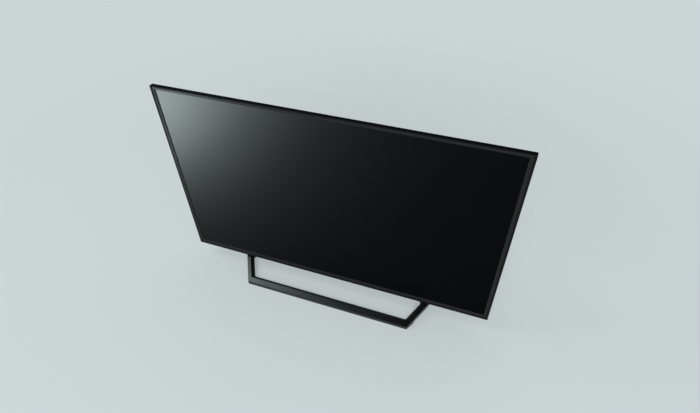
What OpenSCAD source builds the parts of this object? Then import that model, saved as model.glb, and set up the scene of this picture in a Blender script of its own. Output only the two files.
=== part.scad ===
// Flat screen TV on an open trapezoid stand, millimetres.
// X runs to the viewer's right, Y away from the viewer, Z up.
// The origin is on the floor, under the middle of the stand.

/* [Cabinet] */
// Width of the cabinet
tv_w = 730; // [700:1:780]
// Height of the cabinet
tv_h = 444; // [430:1:470]
// Depth of the cabinet from the front face to the back of the bulge
tv_d = 66; // [65:0.5:74]
// Floor to the lower edge of the cabinet
tv_clear = 36; // [32:1:42]

/* [Bezel] */
// Visible border at the left and right of the picture
bezel_side = 10.5; // [10:0.5:14]
// Visible border above the picture
bezel_top = 7.5; // [7:0.5:11]
// Visible border below the picture
bezel_bottom = 14; // [13.5:0.5:18]
// Depth of the bezel's side wall
bezel_d = 9; // [8.5:0.5:9.5]
// Thickness of the bezel's side wall
bezel_wall = 2; // [1.6:0.1:2.2]
// Thickness of the bezel's front lip
bezel_lip = 1.8; // [1.4:0.1:2]
// Width of the sloped inner face of the lip
bezel_slope_w = 5.5; // [3:0.5:6]
// How far the sloped inner face sinks
bezel_slope_d = 0.9; // [0.4:0.1:1.2]
// Outer corner radius of the bezel
bezel_corner_r = 2.5; // [1:0.5:5]

/* [Display stack] */
// Glass hidden behind the bezel at each edge of the picture
panel_overlap = 3; // [2.5:0.5:3]
// Thickness of the liquid crystal glass
panel_t = 1.4; // [1.2:0.1:1.6]
// Gap between the bezel's lip and the glass
panel_gap = 0.2; // [0.1:0.1:0.4]
// Depth that one optical sheet takes up, with the gap behind it
sheet_t = 0.25; // [0.2:0.05:0.3]
// Number of optical sheets
sheet_n = 3; // [2:1:4]
// Thickness of the diffuser plate
diffuser_t = 1.5; // [1.2:0.1:1.6]
// Thickness of the reflector sheet
reflector_t = 0.4; // [0.3:0.1:0.5]
// Thickness of the ledge between the glass and the sheets
ledge_t = 1.2; // [1:0.1:1.4]
// Wall of the middle frame
middle_wall = 1.6; // [1.4:0.1:1.8]

/* [Backlight] */
// Number of LED bars
led_bar_n = 3; // [2:1:4]
// Lenses on one bar
led_per_bar = 7; // [5:1:9]
// Distance between lenses on a bar
led_pitch = 92; // [80:1:96]
// Width of an LED bar
led_bar_w = 18; // [16:1:24]
// Thickness of an LED bar
led_bar_t = 1; // [0.8:0.1:1.2]
// Radius of an LED lens
led_lens_r = 8; // [6:0.5:8.5]
// Height of an LED lens
led_lens_h = 5.4; // [4:0.2:7]

/* [Chassis] */
// Front face of the chassis plate, behind the bezel's front face
chassis_y = 24.6; // [23:0.2:25]
// Sheet thickness of the chassis
chassis_t = 1; // [0.8:0.1:1.2]
// Width of the flange round the chassis tray
chassis_flange = 7; // [6:0.5:7]
// How far the tray's sides and top lean in from front to back
tray_lean = 20; // [16:1:22]
// Height of the bosses that carry the boards
board_boss_h = 6; // [5:0.5:6]
// Radius of the bosses that carry the boards
board_boss_r = 4; // [3.5:0.1:4.5]

/* [Boards] */
// Thickness of a circuit board
board_t = 1.6; // [1.2:0.2:1.6]
// Width of the main board
main_w = 146; // [140:1:150]
// Height of the main board
main_h = 150; // [146:1:160]
// Height of the main board above the cabinet's edge
main_z = 72; // [70:1:76]
// Width of the power board
power_w = 168; // [152:1:172]
// Height of the power board
power_h = 140; // [130:1:150]
// Left edge of the power board from the middle
power_x = 66; // [64:1:70]
// Height of the power board above the cabinet's edge
power_z = 72; // [70:1:80]
// Width of the timing board
tcon_w = 120; // [100:1:124]
// Height of the timing board
tcon_h = 56; // [50:1:60]
// Height of the timing board above the cabinet's edge
tcon_z = 252; // [250:1:256]
// Depth of the screw holes from a board's edge
board_inset = 6; // [5.5:0.5:8]
// Width of a panel ribbon cable
ribbon_w = 20; // [14:1:20]
// Distance of the ribbon cables from the middle
ribbon_x = 28; // [28:0.5:30]
// Thickness of a ribbon cable
ribbon_t = 0.25; // [0.2:0.05:0.3]

/* [Speakers] */
// Width of a speaker box
speaker_w = 120; // [100:1:120]
// Depth of a speaker box, front to back
speaker_d = 19.5; // [18.5:0.5:20.5]
// Height of a speaker box
speaker_h = 38; // [32:1:40]
// Inner end of a speaker box from the middle
speaker_x = 132; // [128:1:133]
// Wall of a speaker box
speaker_wall = 1.5; // [1.2:0.1:2]
// Length of the oval driver's rim
driver_len = 70; // [60:1:80]
// Width of the oval driver's rim
driver_w = 18; // [16:0.5:18]
// Width of the cone
cone_w = 9; // [8:0.5:10]
// Travel of a cone each way
cone_travel = 0.6; // [0.3:0.1:0.6]

/* [Keys] */
// Distance of the key column from the cabinet's side
key_in = 65; // [60:1:68]
// Height of the key column's middle above the cabinet's edge
key_z = 150; // [140:1:170]
// Distance from the rocker's middle to a round key
key_pitch = 27; // [25:0.5:30]
// Radius of a round key
key_r = 4; // [3.5:0.1:4.4]
// Travel of a round key
key_travel = 0.8; // [0.5:0.1:0.8]
// Length of the rocker
rocker_len = 23; // [20:0.5:25]
// Width of the rocker
rocker_w = 8; // [7:0.5:9]
// How far the keys stand out of the cover
key_proud = 1; // [0.6:0.1:1.6]

/* [Rear cover] */
// Wall of the rear cover
cover_t = 2.2; // [1.8:0.1:2.4]
// Depth of the flat upper part of the cover
slab_d = 40; // [40:0.5:42]
// Depth of the socket deck
deck_d = 50; // [48.5:0.5:52]
// Socket deck's outer wall from the cabinet's side
deck_in = 97; // [95:1:100]
// Bottom of the side pocket, behind the front face
pocket_y = 30; // [29.6:0.2:31]
// Width of the side pocket, which runs out through the cover's sloped side
pocket_w = 75; // [74:1:78]
// Height of the bulge above the cabinet's edge
bulge_h = 306; // [300:1:320]
// Right end of the bulge from the middle
bulge_x = 262; // [261:1:270]
// Inset of the cover's rim from the bezel at the sides and below
rim_inset = 1; // [0.8:0.1:1.2]
// Drop of the cover's rim from the bezel's top
rim_drop = 2.5; // [2:0.1:3]
// How far the cover's sides lean in from the rim to the flat back
slab_in = 34; // [30:1:35]
// Length of a cooling slot
vent_len = 22; // [12:1:30]
// Width of a cooling slot
vent_w = 3; // [2:0.5:4]
// Distance between cooling slots
vent_pitch = 10; // [8:0.5:14]
// Cooling slots each side of the middle
vent_n = 16; // [8:1:18]

/* [Sockets] */
// Wall-mount hole spacing across
vesa_x = 100; // [98:1:110]
// Wall-mount hole spacing up
vesa_z = 100; // [96:1:120]
// Height of the wall-mount pattern's middle above the cabinet's edge
vesa_mid_z = 180; // [178:1:184]
// Radius of a wall-mount hole
vesa_hole_r = 2; // [1.8:0.1:2.6]
// Radius of a wall-mount boss
vesa_boss_r = 6.5; // [5.5:0.1:7]
// Depth of a wall-mount hole
vesa_depth = 16; // [10:1:20]
// Radius of the headphone hole
phone_r = 1.8; // [1.75:0.05:1.9]
// Radius of the antenna barrel
antenna_r = 4.75; // [4.5:0.05:5]
// Mains inlet's middle from the power board's outer edge
inlet_in = 20; // [18:1:24]
// Mains inlet's middle above the power board's lower edge
inlet_up = 20; // [16:1:24]

/* [Stand] */
// Reach of the stand in front of the cabinet's face
stand_front = 57; // [52:1:66]
// Reach of the stand behind the cabinet's face
stand_rear = 113; // [105:1:122]
// Length of a floor bar
stand_bar_l = 400; // [380:1:430]
// Width of the stand at its ridge
stand_ridge_l = 490; // [470:1:520]
// Height of a floor bar's outer edge
stand_edge_h = 9; // [8:0.5:12]
// Vertical thickness of the arms and crossbars
stand_t = 10; // [9.9:0.1:11]
// Flat top of a floor bar, front to back
stand_bar_d = 11.7; // [9:0.1:15]
// Flat top of an arm, across
stand_arm_w = 9.3; // [8:0.1:13]
// Width and drop of the sloped faces along the opening's bar and arms
stand_bevel = 9.4; // [8:0.1:9.8]
// Corner radius of the opening
stand_loop_r = 5; // [3:0.5:8]
// Width of the crossbar from the ridge to its opening
stand_cross_d = 16; // [15:0.5:20]
// Half width of the level land at the ridge
stand_land = 10; // [9.5:0.5:12]
// Thickness of the rubber feet
foot_t = 2; // [1.5:0.1:2.5]
// How far the feet stand out of the bars
foot_out = 0.5; // [0.3:0.1:0.8]
// Length of a rubber foot
foot_l = 44; // [30:1:60]
// Depth of a rubber foot, front to back
foot_d = 9; // [8:0.5:10]
// Distance of the feet from the middle
foot_x = 150; // [120:1:165]

/* [Fixings] */
// Middle of a stand bracket from the middle of the cabinet
bracket_x = 90; // [84:1:96]
// Width of a stand bracket
bracket_w = 60; // [50:1:60]
// Height of a bracket's tongue above the cabinet's edge
bracket_h = 60; // [50:1:64]
// Sheet thickness of a bracket
bracket_t = 2.4; // [2:0.1:2.6]
// Clearance round fitted parts
fit = 0.3; // [0.2:0.05:0.4]
// Clearance of a screw in its hole
screw_fit = 0.05; // [0.05:0.05:0.1]
// Radius of a cover screw's shank
cover_screw_r = 1.5; // [1.3:0.1:1.6]
// Radius of a board screw's shank
board_screw_r = 1.4; // [1.2:0.1:1.5]
// Radius of a stand screw's shank
stand_screw_r = 2; // [1.8:0.1:2.2]

/* [Hidden] */
$fn = 48;

// A cut runs this far past the face it opens
past = 1;
// Places in depth, from the bezel's front face
face_y = (stand_front - stand_rear)/2;
panel_y = bezel_lip + panel_gap;
ledge_y = panel_y + panel_t;
sheets_y = ledge_y + ledge_t;
diffuser_y = sheets_y + sheet_n*sheet_t;
flange_y = diffuser_y + diffuser_t;
back_y = chassis_y + chassis_t;
board_y = back_y + board_boss_h;
parts_y = board_y + board_t;
led_bar_y = chassis_y - led_bar_t;
reflector_y = led_bar_y - reflector_t;
// The picture opening
open_x = tv_w/2 - bezel_side;
open_z0 = bezel_bottom;
open_z1 = tv_h - bezel_top;
// The inside of the middle frame
middle_x = tv_w/2 - bezel_wall - fit;
middle_z0 = bezel_wall + fit;
middle_z1 = tv_h - bezel_wall - fit;
inner_x = middle_x - middle_wall;
inner_z0 = middle_z0 + middle_wall;
inner_z1 = middle_z1 - middle_wall;
// The sheets lie a little wider than the picture
sheet_margin = 2;
sheet_gap = 0.05;
sheet_x = open_x + sheet_margin;
sheet_z0 = open_z0 - sheet_margin;
sheet_z1 = open_z1 + sheet_margin*0.8;
// The chassis tray
tray_inset = 1;
tray_x = open_x - tray_inset;
tray_z0 = open_z0 + tray_inset;
tray_z1 = open_z1 - tray_inset;
tray_slope = tray_lean/(chassis_y - flange_y);
// The rear cover
rim_x = tv_w/2 - rim_inset;
rim_z0 = rim_inset;
rim_z1 = tv_h - rim_drop;
slab_slope = slab_in/(slab_d - bezel_d);
slab_low_d = 29;
slab_rise = 14;
deck_x0 = -tv_w/2 + deck_in;
deck_below = 12;
deck_above = 18;
deck_z0 = main_z - deck_below;
deck_z1 = main_z + main_h + deck_above;
deck_run = 8;
deck_w = 147;
bulge_left = deck_x0 + deck_w;
bulge_run = 24;
bulge_low_d = 48;
bulge_low_z = 40;
bulge_top_run = 34;
deck_lap = 2;
deck_x1 = bulge_left + bulge_run + deck_lap;
wing_out = 4;
wing_d = deck_d + wing_out;
wing_low_z = 12;
wing_lap = 6;
wing_z1 = deck_z0 + wing_lap;
wing_run = 10;
cover_in_y = tv_d - cover_t;
slab_in_y = slab_d - cover_t;
pocket_up = 20;
pocket_h = 116;
pocket_z0 = main_z + pocket_up;
pocket_z1 = pocket_z0 + pocket_h;
well_r = 6.5;
well_bore_r = 4.2;
well_floor = 2;
cover_boss_h = 7.4;
cover_boss_r = 5;
well_y = back_y + cover_boss_h;
cover_screw_in = 42;
cover_screw_down = 50;
cover_screw_x = 110;
cover_screw_side = rim_x - cover_screw_in;
cover_screw_top = tv_h - cover_screw_down;
cover_screw_below = 6;
cover_screw_above = 32;
cover_screw_z = [deck_z0 - cover_screw_below, pocket_z1 + cover_screw_above, cover_screw_top];
cover_screw_at = [for (s = [-1, 1], z = cover_screw_z) [s*cover_screw_side, z],
    for (s = [-1, 1]) [s*cover_screw_x, cover_screw_top]];
// The stand
ridge_y = (stand_rear - stand_front)/2;
ridge_z = tv_clear - bracket_t - fit;
stand_run = stand_front + ridge_y;
stand_slope = (ridge_z - stand_edge_h)/(stand_run - stand_land);
stand_spread = (stand_ridge_l - stand_bar_l)/2/stand_run;
// The boards and the mains inlet
main_in = 4;
main_at = [deck_x0 + main_in, main_z];
main_size = [main_w, main_h];
power_at = [power_x, power_z];
power_size = [power_w, power_h];
tcon_at = [-tcon_w/2, tcon_z];
tcon_size = [tcon_w, tcon_h];
inlet_at = [power_x + power_w - inlet_in, power_z + inlet_up];
// The keys
key_x = tv_w/2 - key_in;
switch_h = 1.5;
key_flange_t = 1.5;
key_back_y = slab_in_y - fit - key_flange_t;
key_rest = 0.1;
rocker_pin_y = key_back_y + key_flange_t/2;

// Small helpers

module block(lo, hi) translate(lo) cube(hi - lo);
module at_cabinet() translate([0, face_y, tv_clear]) children();
module along_x(x0, x1) translate([x0, 0, 0]) rotate([90, 0, 90]) linear_extrude(x1 - x0) children();
module along_y(y0, y1) translate([0, y1, 0]) rotate([90, 0, 0]) linear_extrude(y1 - y0) children();
module along_z(z0, z1) translate([0, 0, z0]) linear_extrude(z1 - z0) children();
module rod_x(y, z, r, x0, x1) translate([x0, y, z]) rotate([0, 90, 0]) cylinder(r = r, h = x1 - x0);
module rod_y(x, z, r, y0, y1) translate([x, y0, z]) rotate([-90, 0, 0]) cylinder(r = r, h = y1 - y0);
module rod_z(x, y, r, z0, z1) translate([x, y, z0]) cylinder(r = r, h = z1 - z0);
// A rectangle from its corners with round corners
module soft_rect(lo, hi, r) {
    translate([lo[0] + r, lo[1]]) square([hi[0] - lo[0] - 2*r, hi[1] - lo[1]]);
    translate([lo[0], lo[1] + r]) square([hi[0] - lo[0], hi[1] - lo[1] - 2*r]);
    for (x = [lo[0] + r, hi[0] - r], z = [lo[1] + r, hi[1] - r]) translate([x, z]) circle(r = r);
}
// A long oval, centred
module oval(length, width) {
    square([length - width, width], center = true);
    for (s = [-1, 1]) translate([s*(length - width)/2, 0]) circle(r = width/2);
}
// A pan-head screw along Y, seen from behind: head outside y, shank running to the front
module screw_y(x, z, y, r, head_r, head_h, length) {
    rod_y(x, z, head_r, y, y + head_h);
    rod_y(x, z, r, y - length, y);
}
// A box whose four sides lean in from a wide end at y0 to a narrow end at y1
module leaning_box(wide, narrow, y0, y1) intersection() {
    along_z(min(wide[2], narrow[2]), max(wide[3], narrow[3]))
        polygon([[wide[0], y0], [wide[1], y0], [narrow[1], y1], [narrow[0], y1]]);
    along_x(min(wide[0], narrow[0]), max(wide[1], narrow[1]))
        polygon([[y0, wide[2]], [y0, wide[3]], [y1, narrow[3]], [y1, narrow[2]]]);
}

// The backlight tray between two depths, grown by g: its sides and top lean in towards the back
function tray_rect(y, g) = let (lean = tray_slope*(y - flange_y))
    [-tray_x + lean - g, tray_x - lean + g, tray_z0 - g, tray_z1 - lean + g];
module tray_form(g, y0, y1) leaning_box(tray_rect(y0, g), tray_rect(y1, g), y0, y1);

// The front and the display stack

module front_bezel() color([0.05, 0.05, 0.055]) at_cabinet() {
    difference() {
        along_y(0, bezel_d) soft_rect([-tv_w/2, 0], [tv_w/2, tv_h], bezel_corner_r);
        block([-tv_w/2 + bezel_wall, bezel_lip, bezel_wall],
            [tv_w/2 - bezel_wall, bezel_d + past, tv_h - bezel_wall]);
        block([-open_x, -past, open_z0], [open_x, bezel_lip + past, open_z1]);
        leaning_box([-open_x - bezel_slope_w, open_x + bezel_slope_w, open_z0 - bezel_slope_w,
            open_z1 + bezel_slope_w], [-open_x, open_x, open_z0, open_z1], 0, bezel_slope_d);
        block([-ir_half - fit, ir_y0 - fit, -past], [ir_half + fit, ir_y1 + fit, bezel_wall + past]);
    }
}

module lcd_panel() color([0.02, 0.02, 0.025]) at_cabinet() {
    step_h = 2;
    front_t = panel_t/2;
    difference() {
        block([-open_x - panel_overlap, panel_y, open_z0 - panel_overlap],
            [open_x + panel_overlap, ledge_y, open_z1 + panel_overlap]);
        block([-tv_w/2, panel_y - past, 0], [tv_w/2, panel_y + front_t, open_z0 - panel_overlap + step_h]);
    }
}

source_n = 4;
source_len = 150;
source_gap = 12;
source_y = panel_y + panel_t/2;
module source_boards() color([0.1, 0.35, 0.2]) at_cabinet() {
    for (s = [-1, 1]) {
        x0 = s < 0 ? -source_gap - 2*source_len : source_gap;
        block([x0, source_y, inner_z0 + fit], [x0 + 2*source_len, ledge_y, open_z0 - panel_overlap - fit]);
    }
}

module source_flex_films() color([0.65, 0.45, 0.15]) at_cabinet() {
    film_t = 0.15;
    film_w = 36;
    low_z = inner_z0 + 2;
    top_z = open_z0 - panel_overlap + 1.6;
    for (s = [-1, 1], i = [0 : source_n - 1])
        let (x = s*(source_gap + (i + 0.5)*2*source_len/source_n))
        block([x - film_w/2, source_y - film_t, low_z], [x + film_w/2, source_y, top_z]);
}

frame_screw_r = 0.8;
frame_screw_side = inner_x - 1.9;
frame_screw_low = open_z0 - sheet_margin - 2.2;
frame_screw_end = 60;
frame_screw_x = 130;
frame_screw_far = 300;
frame_screw_z = [frame_screw_end, tv_h/2, tv_h - frame_screw_end];
frame_screw_at = [for (s = [-1, 1], z = frame_screw_z) [s*frame_screw_side, z],
    for (s = [-1, 1], x = [frame_screw_x, frame_screw_far]) [s*x, frame_screw_low]];
module middle_frame() color([0.12, 0.12, 0.12]) at_cabinet() {
    ledge_in = 0.5;
    boss_r = 1.5;
    ir_notch = ir_half + 4.3;
    hole_r = frame_screw_r + screw_fit;
    hole_end = 0.4;
    ribbon_notch = 2;
    difference() {
        union() {
            difference() {
                block([-middle_x, panel_y, middle_z0], [middle_x, bezel_d, middle_z1]);
                block([-inner_x, panel_y - past, inner_z0], [inner_x, bezel_d + past, inner_z1]);
            }
            difference() {
                block([-middle_x, ledge_y, middle_z0], [middle_x, sheets_y, middle_z1]);
                block([-open_x - ledge_in, ledge_y - past, open_z0 - ledge_in],
                    [open_x + ledge_in, sheets_y + past, open_z1 + ledge_in]);
            }
            for (p = frame_screw_at) rod_y(p[0], p[1], boss_r, ledge_y, flange_y);
        }
        for (p = frame_screw_at) rod_y(p[0], p[1], hole_r, ledge_y + hole_end, flange_y + past);
        block([-ir_notch, panel_y - past, 0], [ir_notch, bezel_d + past, inner_z0 + past]);
        for (s = [-1, 1])
            block([s*ribbon_x - ribbon_w/2 - fit, panel_y - past, inner_z0],
                [s*ribbon_x + ribbon_w/2 + fit, bezel_d + past, inner_z0 + ribbon_notch]);
    }
}

module optical_sheets() color([0.9, 0.92, 0.95]) at_cabinet()
    for (i = [0 : sheet_n - 1]) let (y = sheets_y + i*sheet_t)
        block([-sheet_x, y, sheet_z0], [sheet_x, y + sheet_t - sheet_gap, sheet_z1]);

module diffuser_plate() color([0.95, 0.95, 0.95]) at_cabinet()
    block([-sheet_x, diffuser_y, sheet_z0], [sheet_x, flange_y, sheet_z1]);

led_row_z = [for (i = [0 : led_bar_n - 1]) open_z0 + (i + 0.5)*(open_z1 - open_z0)/led_bar_n];
led_at = [for (z = led_row_z, i = [0 : led_per_bar - 1]) [(i - (led_per_bar - 1)/2)*led_pitch, z]];
pin_at = [for (i = [0 : led_bar_n - 2], x = [-2.5, -0.5, 1.5])
    [(x + (i % 2))*led_pitch, (led_row_z[i] + led_row_z[i + 1])/2]];

module reflector_sheet() color([0.97, 0.97, 0.97]) at_cabinet() {
    gap = 0.2;
    front_y = flange_y + chassis_t;
    side_t = reflector_t*1.6;
    difference() {
        tray_form(-gap, front_y, led_bar_y);
        tray_form(-gap - side_t, front_y - past, reflector_y);
        for (p = led_at) rod_y(p[0], p[1], led_lens_r + fit, reflector_y - past, led_bar_y + past);
    }
}

module led_bars() color([0.85, 0.85, 0.8]) at_cabinet()
    for (z = led_row_z)
        block([-led_per_bar*led_pitch/2, led_bar_y, z - led_bar_w/2],
            [led_per_bar*led_pitch/2, chassis_y, z + led_bar_w/2]);

module led_lenses() color([0.9, 0.95, 1]) at_cabinet()
    for (p = led_at) translate([p[0], led_bar_y, p[1]]) rotate([90, 0, 0]) rotate_extrude()
        polygon([[0, 0], [led_lens_r, 0], [led_lens_r, led_lens_h*0.4], [led_lens_r*0.7, led_lens_h*0.85],
            [led_lens_r*0.35, led_lens_h], [0, led_lens_h*0.8]]);

module diffuser_pins() color([0.95, 0.95, 0.95]) at_cabinet() {
    foot_r = 5;
    tip_r = 1.2;
    height = reflector_y - flange_y - fit;
    for (p = pin_at) translate([p[0], reflector_y, p[1]]) rotate([90, 0, 0])
        cylinder(r1 = foot_r, r2 = tip_r, h = height);
}

key_board_w = 30;
key_board_l = 84;
key_board_at = [key_x - key_board_w/2, key_z - key_board_l/2];
function corners(at, size) = [for (x = [board_inset, size[0] - board_inset],
    z = [board_inset, size[1] - board_inset]) [at[0] + x, at[1] + z]];
board_holes = concat(corners(main_at, main_size), corners(power_at, power_size),
    corners(tcon_at, tcon_size), corners(key_board_at, [key_board_w, key_board_l]));
bracket_screw_down = 22;
bracket_screw_at = [for (s = [-1, 1], x = [-1, 1])
    [s*bracket_x + x*bracket_w/4, bracket_h - bracket_screw_down]];

module rear_chassis() color([0.7, 0.71, 0.72]) at_cabinet() {
    board_hole_r = board_screw_r + screw_fit;
    cover_hole_r = cover_screw_r + screw_fit;
    bracket_hole_r = stand_screw_r + screw_fit;
    frame_hole_r = frame_screw_r + 0.2;
    flange_top = inner_z1 - fit;
    flange_low = open_z0 - tray_inset - chassis_flange + 1.5;
    difference() {
        union() {
            block([-tray_x - chassis_flange, flange_y, flange_low],
                [tray_x + chassis_flange, flange_y + chassis_t, flange_top]);
            tray_form(chassis_t, flange_y, back_y);
            for (p = board_holes) rod_y(p[0], p[1], board_boss_r, back_y - chassis_t/2, board_y);
            for (p = cover_screw_at) rod_y(p[0], p[1], cover_boss_r, back_y - chassis_t/2, well_y);
        }
        tray_form(0, flange_y - past, chassis_y);
        for (p = board_holes) rod_y(p[0], p[1], board_hole_r, back_y + chassis_t, board_y + past);
        for (p = cover_screw_at) rod_y(p[0], p[1], cover_hole_r, back_y + chassis_t, well_y + past);
        for (p = bracket_screw_at) rod_y(p[0], p[1], bracket_hole_r, chassis_y - past, back_y + past);
        for (p = frame_screw_at)
            rod_y(p[0], p[1], frame_hole_r, flange_y - past, flange_y + chassis_t + past);
    }
}

module frame_screws() color([0.75, 0.75, 0.75]) at_cabinet() {
    head_r = 1.5;
    head_h = 0.9;
    head_y = flange_y + chassis_t;
    length = head_y - ledge_y - 0.6;
    for (p = frame_screw_at) screw_y(p[0], p[1], head_y, frame_screw_r, head_r, head_h, length);
}

// The boards and what stands on them

module board(at, size) difference() {
    block([at[0], board_y, at[1]], [at[0] + size[0], parts_y, at[1] + size[1]]);
    for (p = corners(at, size)) rod_y(p[0], p[1], board_screw_r + screw_fit, board_y - past, parts_y + past);
}
module on_board(at, lo, size) block([at[0] + lo[0], parts_y, at[1] + lo[1]],
    [at[0] + lo[0] + size[0], parts_y + size[2], at[1] + lo[1] + size[1]]);

// Speaker connector's place on the main board
speaker_plug_right = 36;
speaker_plug_w = 20;
speaker_plug_h = 6;
speaker_plug_t = 5;
module main_board() color([0.08, 0.3, 0.16]) at_cabinet() board(main_at, main_size);

module main_board_parts() color([0.15, 0.15, 0.16]) at_cabinet() {
    // Tuner can
    tuner_right = 42;
    tuner_z = 44;
    tuner_w = 30;
    tuner_h = 24;
    tuner_t = 9;
    on_board(main_at, [main_w - tuner_right, tuner_z], [tuner_w, tuner_h, tuner_t]);
    // Flash chip
    flash_right = 46;
    flash_z = 82;
    flash_w = 8;
    flash_h = 6;
    flash_t = 1.8;
    on_board(main_at, [main_w - flash_right, flash_z], [flash_w, flash_h, flash_t]);
    // Memory chips
    memory_x = 56;
    memory_down = 38;
    memory_pitch = 20;
    memory_w = 12;
    memory_h = 9;
    memory_t = 1.2;
    for (i = [0, 1])
        on_board(main_at, [memory_x + i*memory_pitch, main_h - memory_down], [memory_w, memory_h, memory_t]);
    // Connector to the timing board, and connector of the speakers
    link_right = 38;
    link_down = 22;
    link_w = 28;
    link_h = 6;
    link_t = 4;
    on_board(main_at, [main_w - link_right, main_h - link_down], [link_w, link_h, link_t]);
    on_board(main_at, [main_w - speaker_plug_right, 0], [speaker_plug_w, speaker_plug_h, speaker_plug_t]);
    // Capacitors and coils of the converters
    can_right = 34;
    can_z = 80;
    can_pitch = 9;
    can_r = 3.2;
    can_h = 8;
    for (i = [0 : 4])
        rod_y(main_at[0] + main_w - can_right, main_z + can_z + i*can_pitch, can_r, parts_y, parts_y + can_h);
    coil_right = 24;
    coil_pitch = 10;
    coil_w = 8;
    coil_t = 4;
    for (i = [0 : 3])
        on_board(main_at, [main_w - coil_right, can_z + i*coil_pitch], [coil_w, coil_w, coil_t]);
}

module main_heatsink() color([0.2, 0.2, 0.21]) at_cabinet() {
    base_x = 50;
    base_z = 62;
    base_w = 42;
    base_t = 3;
    fin_n = 7;
    fin_w = 1.6;
    fin_t = 11;
    fin_pitch = (base_w - fin_w)/(fin_n - 1);
    on_board(main_at, [base_x, base_z], [base_w, base_w, base_t]);
    for (i = [0 : fin_n - 1]) on_board(main_at, [base_x + i*fin_pitch, base_z], [fin_w, base_w, fin_t]);
}

module power_board() color([0.55, 0.42, 0.18]) at_cabinet() board(power_at, power_size);

module power_transformers() color([0.75, 0.68, 0.3]) at_cabinet() {
    // A core with a winding block
    core_x = 44;
    core_z = 82;
    core_w = 34;
    core_h = 30;
    core_t = 22;
    winding_in = 5;
    winding_over = 6;
    winding_t = 16;
    on_board(power_at, [core_x, core_z], [core_w, core_h, core_t]);
    on_board(power_at, [core_x + winding_in, core_z - winding_over],
        [core_w - 2*winding_in, core_h + 2*winding_over, winding_t]);
    // Line filter
    filter_right = 46;
    filter_z = 44;
    filter_w = 20;
    filter_h = 18;
    filter_t = 16;
    on_board(power_at, [power_w - filter_right, filter_z], [filter_w, filter_h, filter_t]);
}

module power_capacitors() color([0.1, 0.1, 0.14]) at_cabinet() {
    bulk_x = 104;
    bulk_z = 112;
    bulk_pitch = 22;
    bulk_r = 9;
    bulk_t = 25;
    for (i = [0, 1])
        rod_y(power_x + bulk_x + i*bulk_pitch, power_z + bulk_z, bulk_r, parts_y, parts_y + bulk_t);
    small_x = 20;
    small_z = 70;
    small_pitch = 12;
    small_r = 4;
    small_t = 14;
    for (i = [0 : 3])
        rod_y(power_x + small_x, power_z + small_z + i*small_pitch, small_r, parts_y, parts_y + small_t);
}

module power_heatsink() color([0.62, 0.63, 0.65]) at_cabinet() {
    plate_x = 88;
    plate_z = 78;
    plate_w = 58;
    sheet = 2;
    height = 22;
    fin_l = 7;
    fin_n = 6;
    fin_pitch = 11;
    on_board(power_at, [plate_x, plate_z], [plate_w, sheet, height]);
    for (i = [0 : fin_n - 1])
        on_board(power_at, [plate_x + i*fin_pitch, plate_z + sheet/2 - fin_l], [sheet, fin_l, height]);
}

module timing_board() color([0.08, 0.3, 0.16]) at_cabinet() {
    connector = [ribbon_w + 4, 6, 2];
    board(tcon_at, tcon_size);
    for (s = [-1, 1]) on_board(tcon_at, [tcon_w/2 + s*ribbon_x - connector[0]/2, 0], connector);
}

module timing_shield() color([0.72, 0.73, 0.74]) at_cabinet() {
    side = 20;
    low = 12;
    above = 6;
    height = 2.4;
    on_board(tcon_at, [side, low], [tcon_w - 2*side, tcon_h - low - above, height]);
}

module panel_ribbons() color([0.85, 0.85, 0.82]) at_cabinet() {
    low_z = inner_z0 + 0.9;
    run_y = back_y + 0.2;
    bend_z = tcon_z - 6;
    plug_y = parts_y + 0.9;
    for (s = [-1, 1]) {
        x0 = s*ribbon_x - ribbon_w/2;
        x1 = s*ribbon_x + ribbon_w/2;
        block([x0, ledge_y, low_z], [x1, run_y + ribbon_t, low_z + ribbon_t]);
        block([x0, run_y, low_z], [x1, run_y + ribbon_t, bend_z + ribbon_t]);
        block([x0, run_y, bend_z], [x1, plug_y + ribbon_t, bend_z + ribbon_t]);
        block([x0, plug_y, bend_z], [x1, plug_y + ribbon_t, tcon_z]);
    }
}

module led_harness() color([0.85, 0.2, 0.15]) at_cabinet() {
    wire_r = 1;
    plug_w = 14;
    plug_h = 10;
    plug_low = 1;
    plug_t = board_boss_h - plug_low;
    plug_x = 8;
    wire_y = back_y + plug_t/2;
    for (z = led_row_z)
        block([plug_x - plug_w/2, back_y, z - plug_h/2], [plug_x + plug_w/2, back_y + plug_t, z + plug_h/2]);
    for (i = [0 : led_bar_n - 2])
        rod_z(plug_x, wire_y, wire_r, led_row_z[i], led_row_z[i + 1]);
}

wireless_x = 104;
wireless_up = 14;
module wireless_module() color([0.1, 0.25, 0.5]) at_cabinet() {
    size = [38, 1, 24];
    can = [20, 3, 16];
    edge = 4;
    x = -wireless_x;
    z = main_z + wireless_up;
    block([x, back_y, z], [x + size[0], back_y + size[1], z + size[2]]);
    block([x + edge, back_y, z + edge], [x + edge + can[0], back_y + can[1], z + edge + can[2]]);
}

module board_screws() color([0.75, 0.75, 0.75]) at_cabinet() {
    head_r = 2.8;
    head_h = 2;
    bite = 4;
    for (p = board_holes) screw_y(p[0], p[1], parts_y, board_screw_r, head_r, head_h, board_t + bite);
}

// The speakers

speaker_tab = 0.6;
speaker_y = back_y + speaker_tab;
speaker_mid_y = speaker_y + speaker_d/2;
rim_t = 1.5;
rim_w = 2.3;
cone_room = 0.2;
can_h = 14;
can_roof = 3;
can_wall = 1.2;
speaker_low = rim_z0 + cover_t + rim_t + cone_travel + cone_room;
function speaker_mid(s) = s*(speaker_x + speaker_w/2);
// An oval that lies inside the driver's rim by g all round
module driver_oval(g) oval(driver_len - 2*g, driver_w - 2*g);

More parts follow.
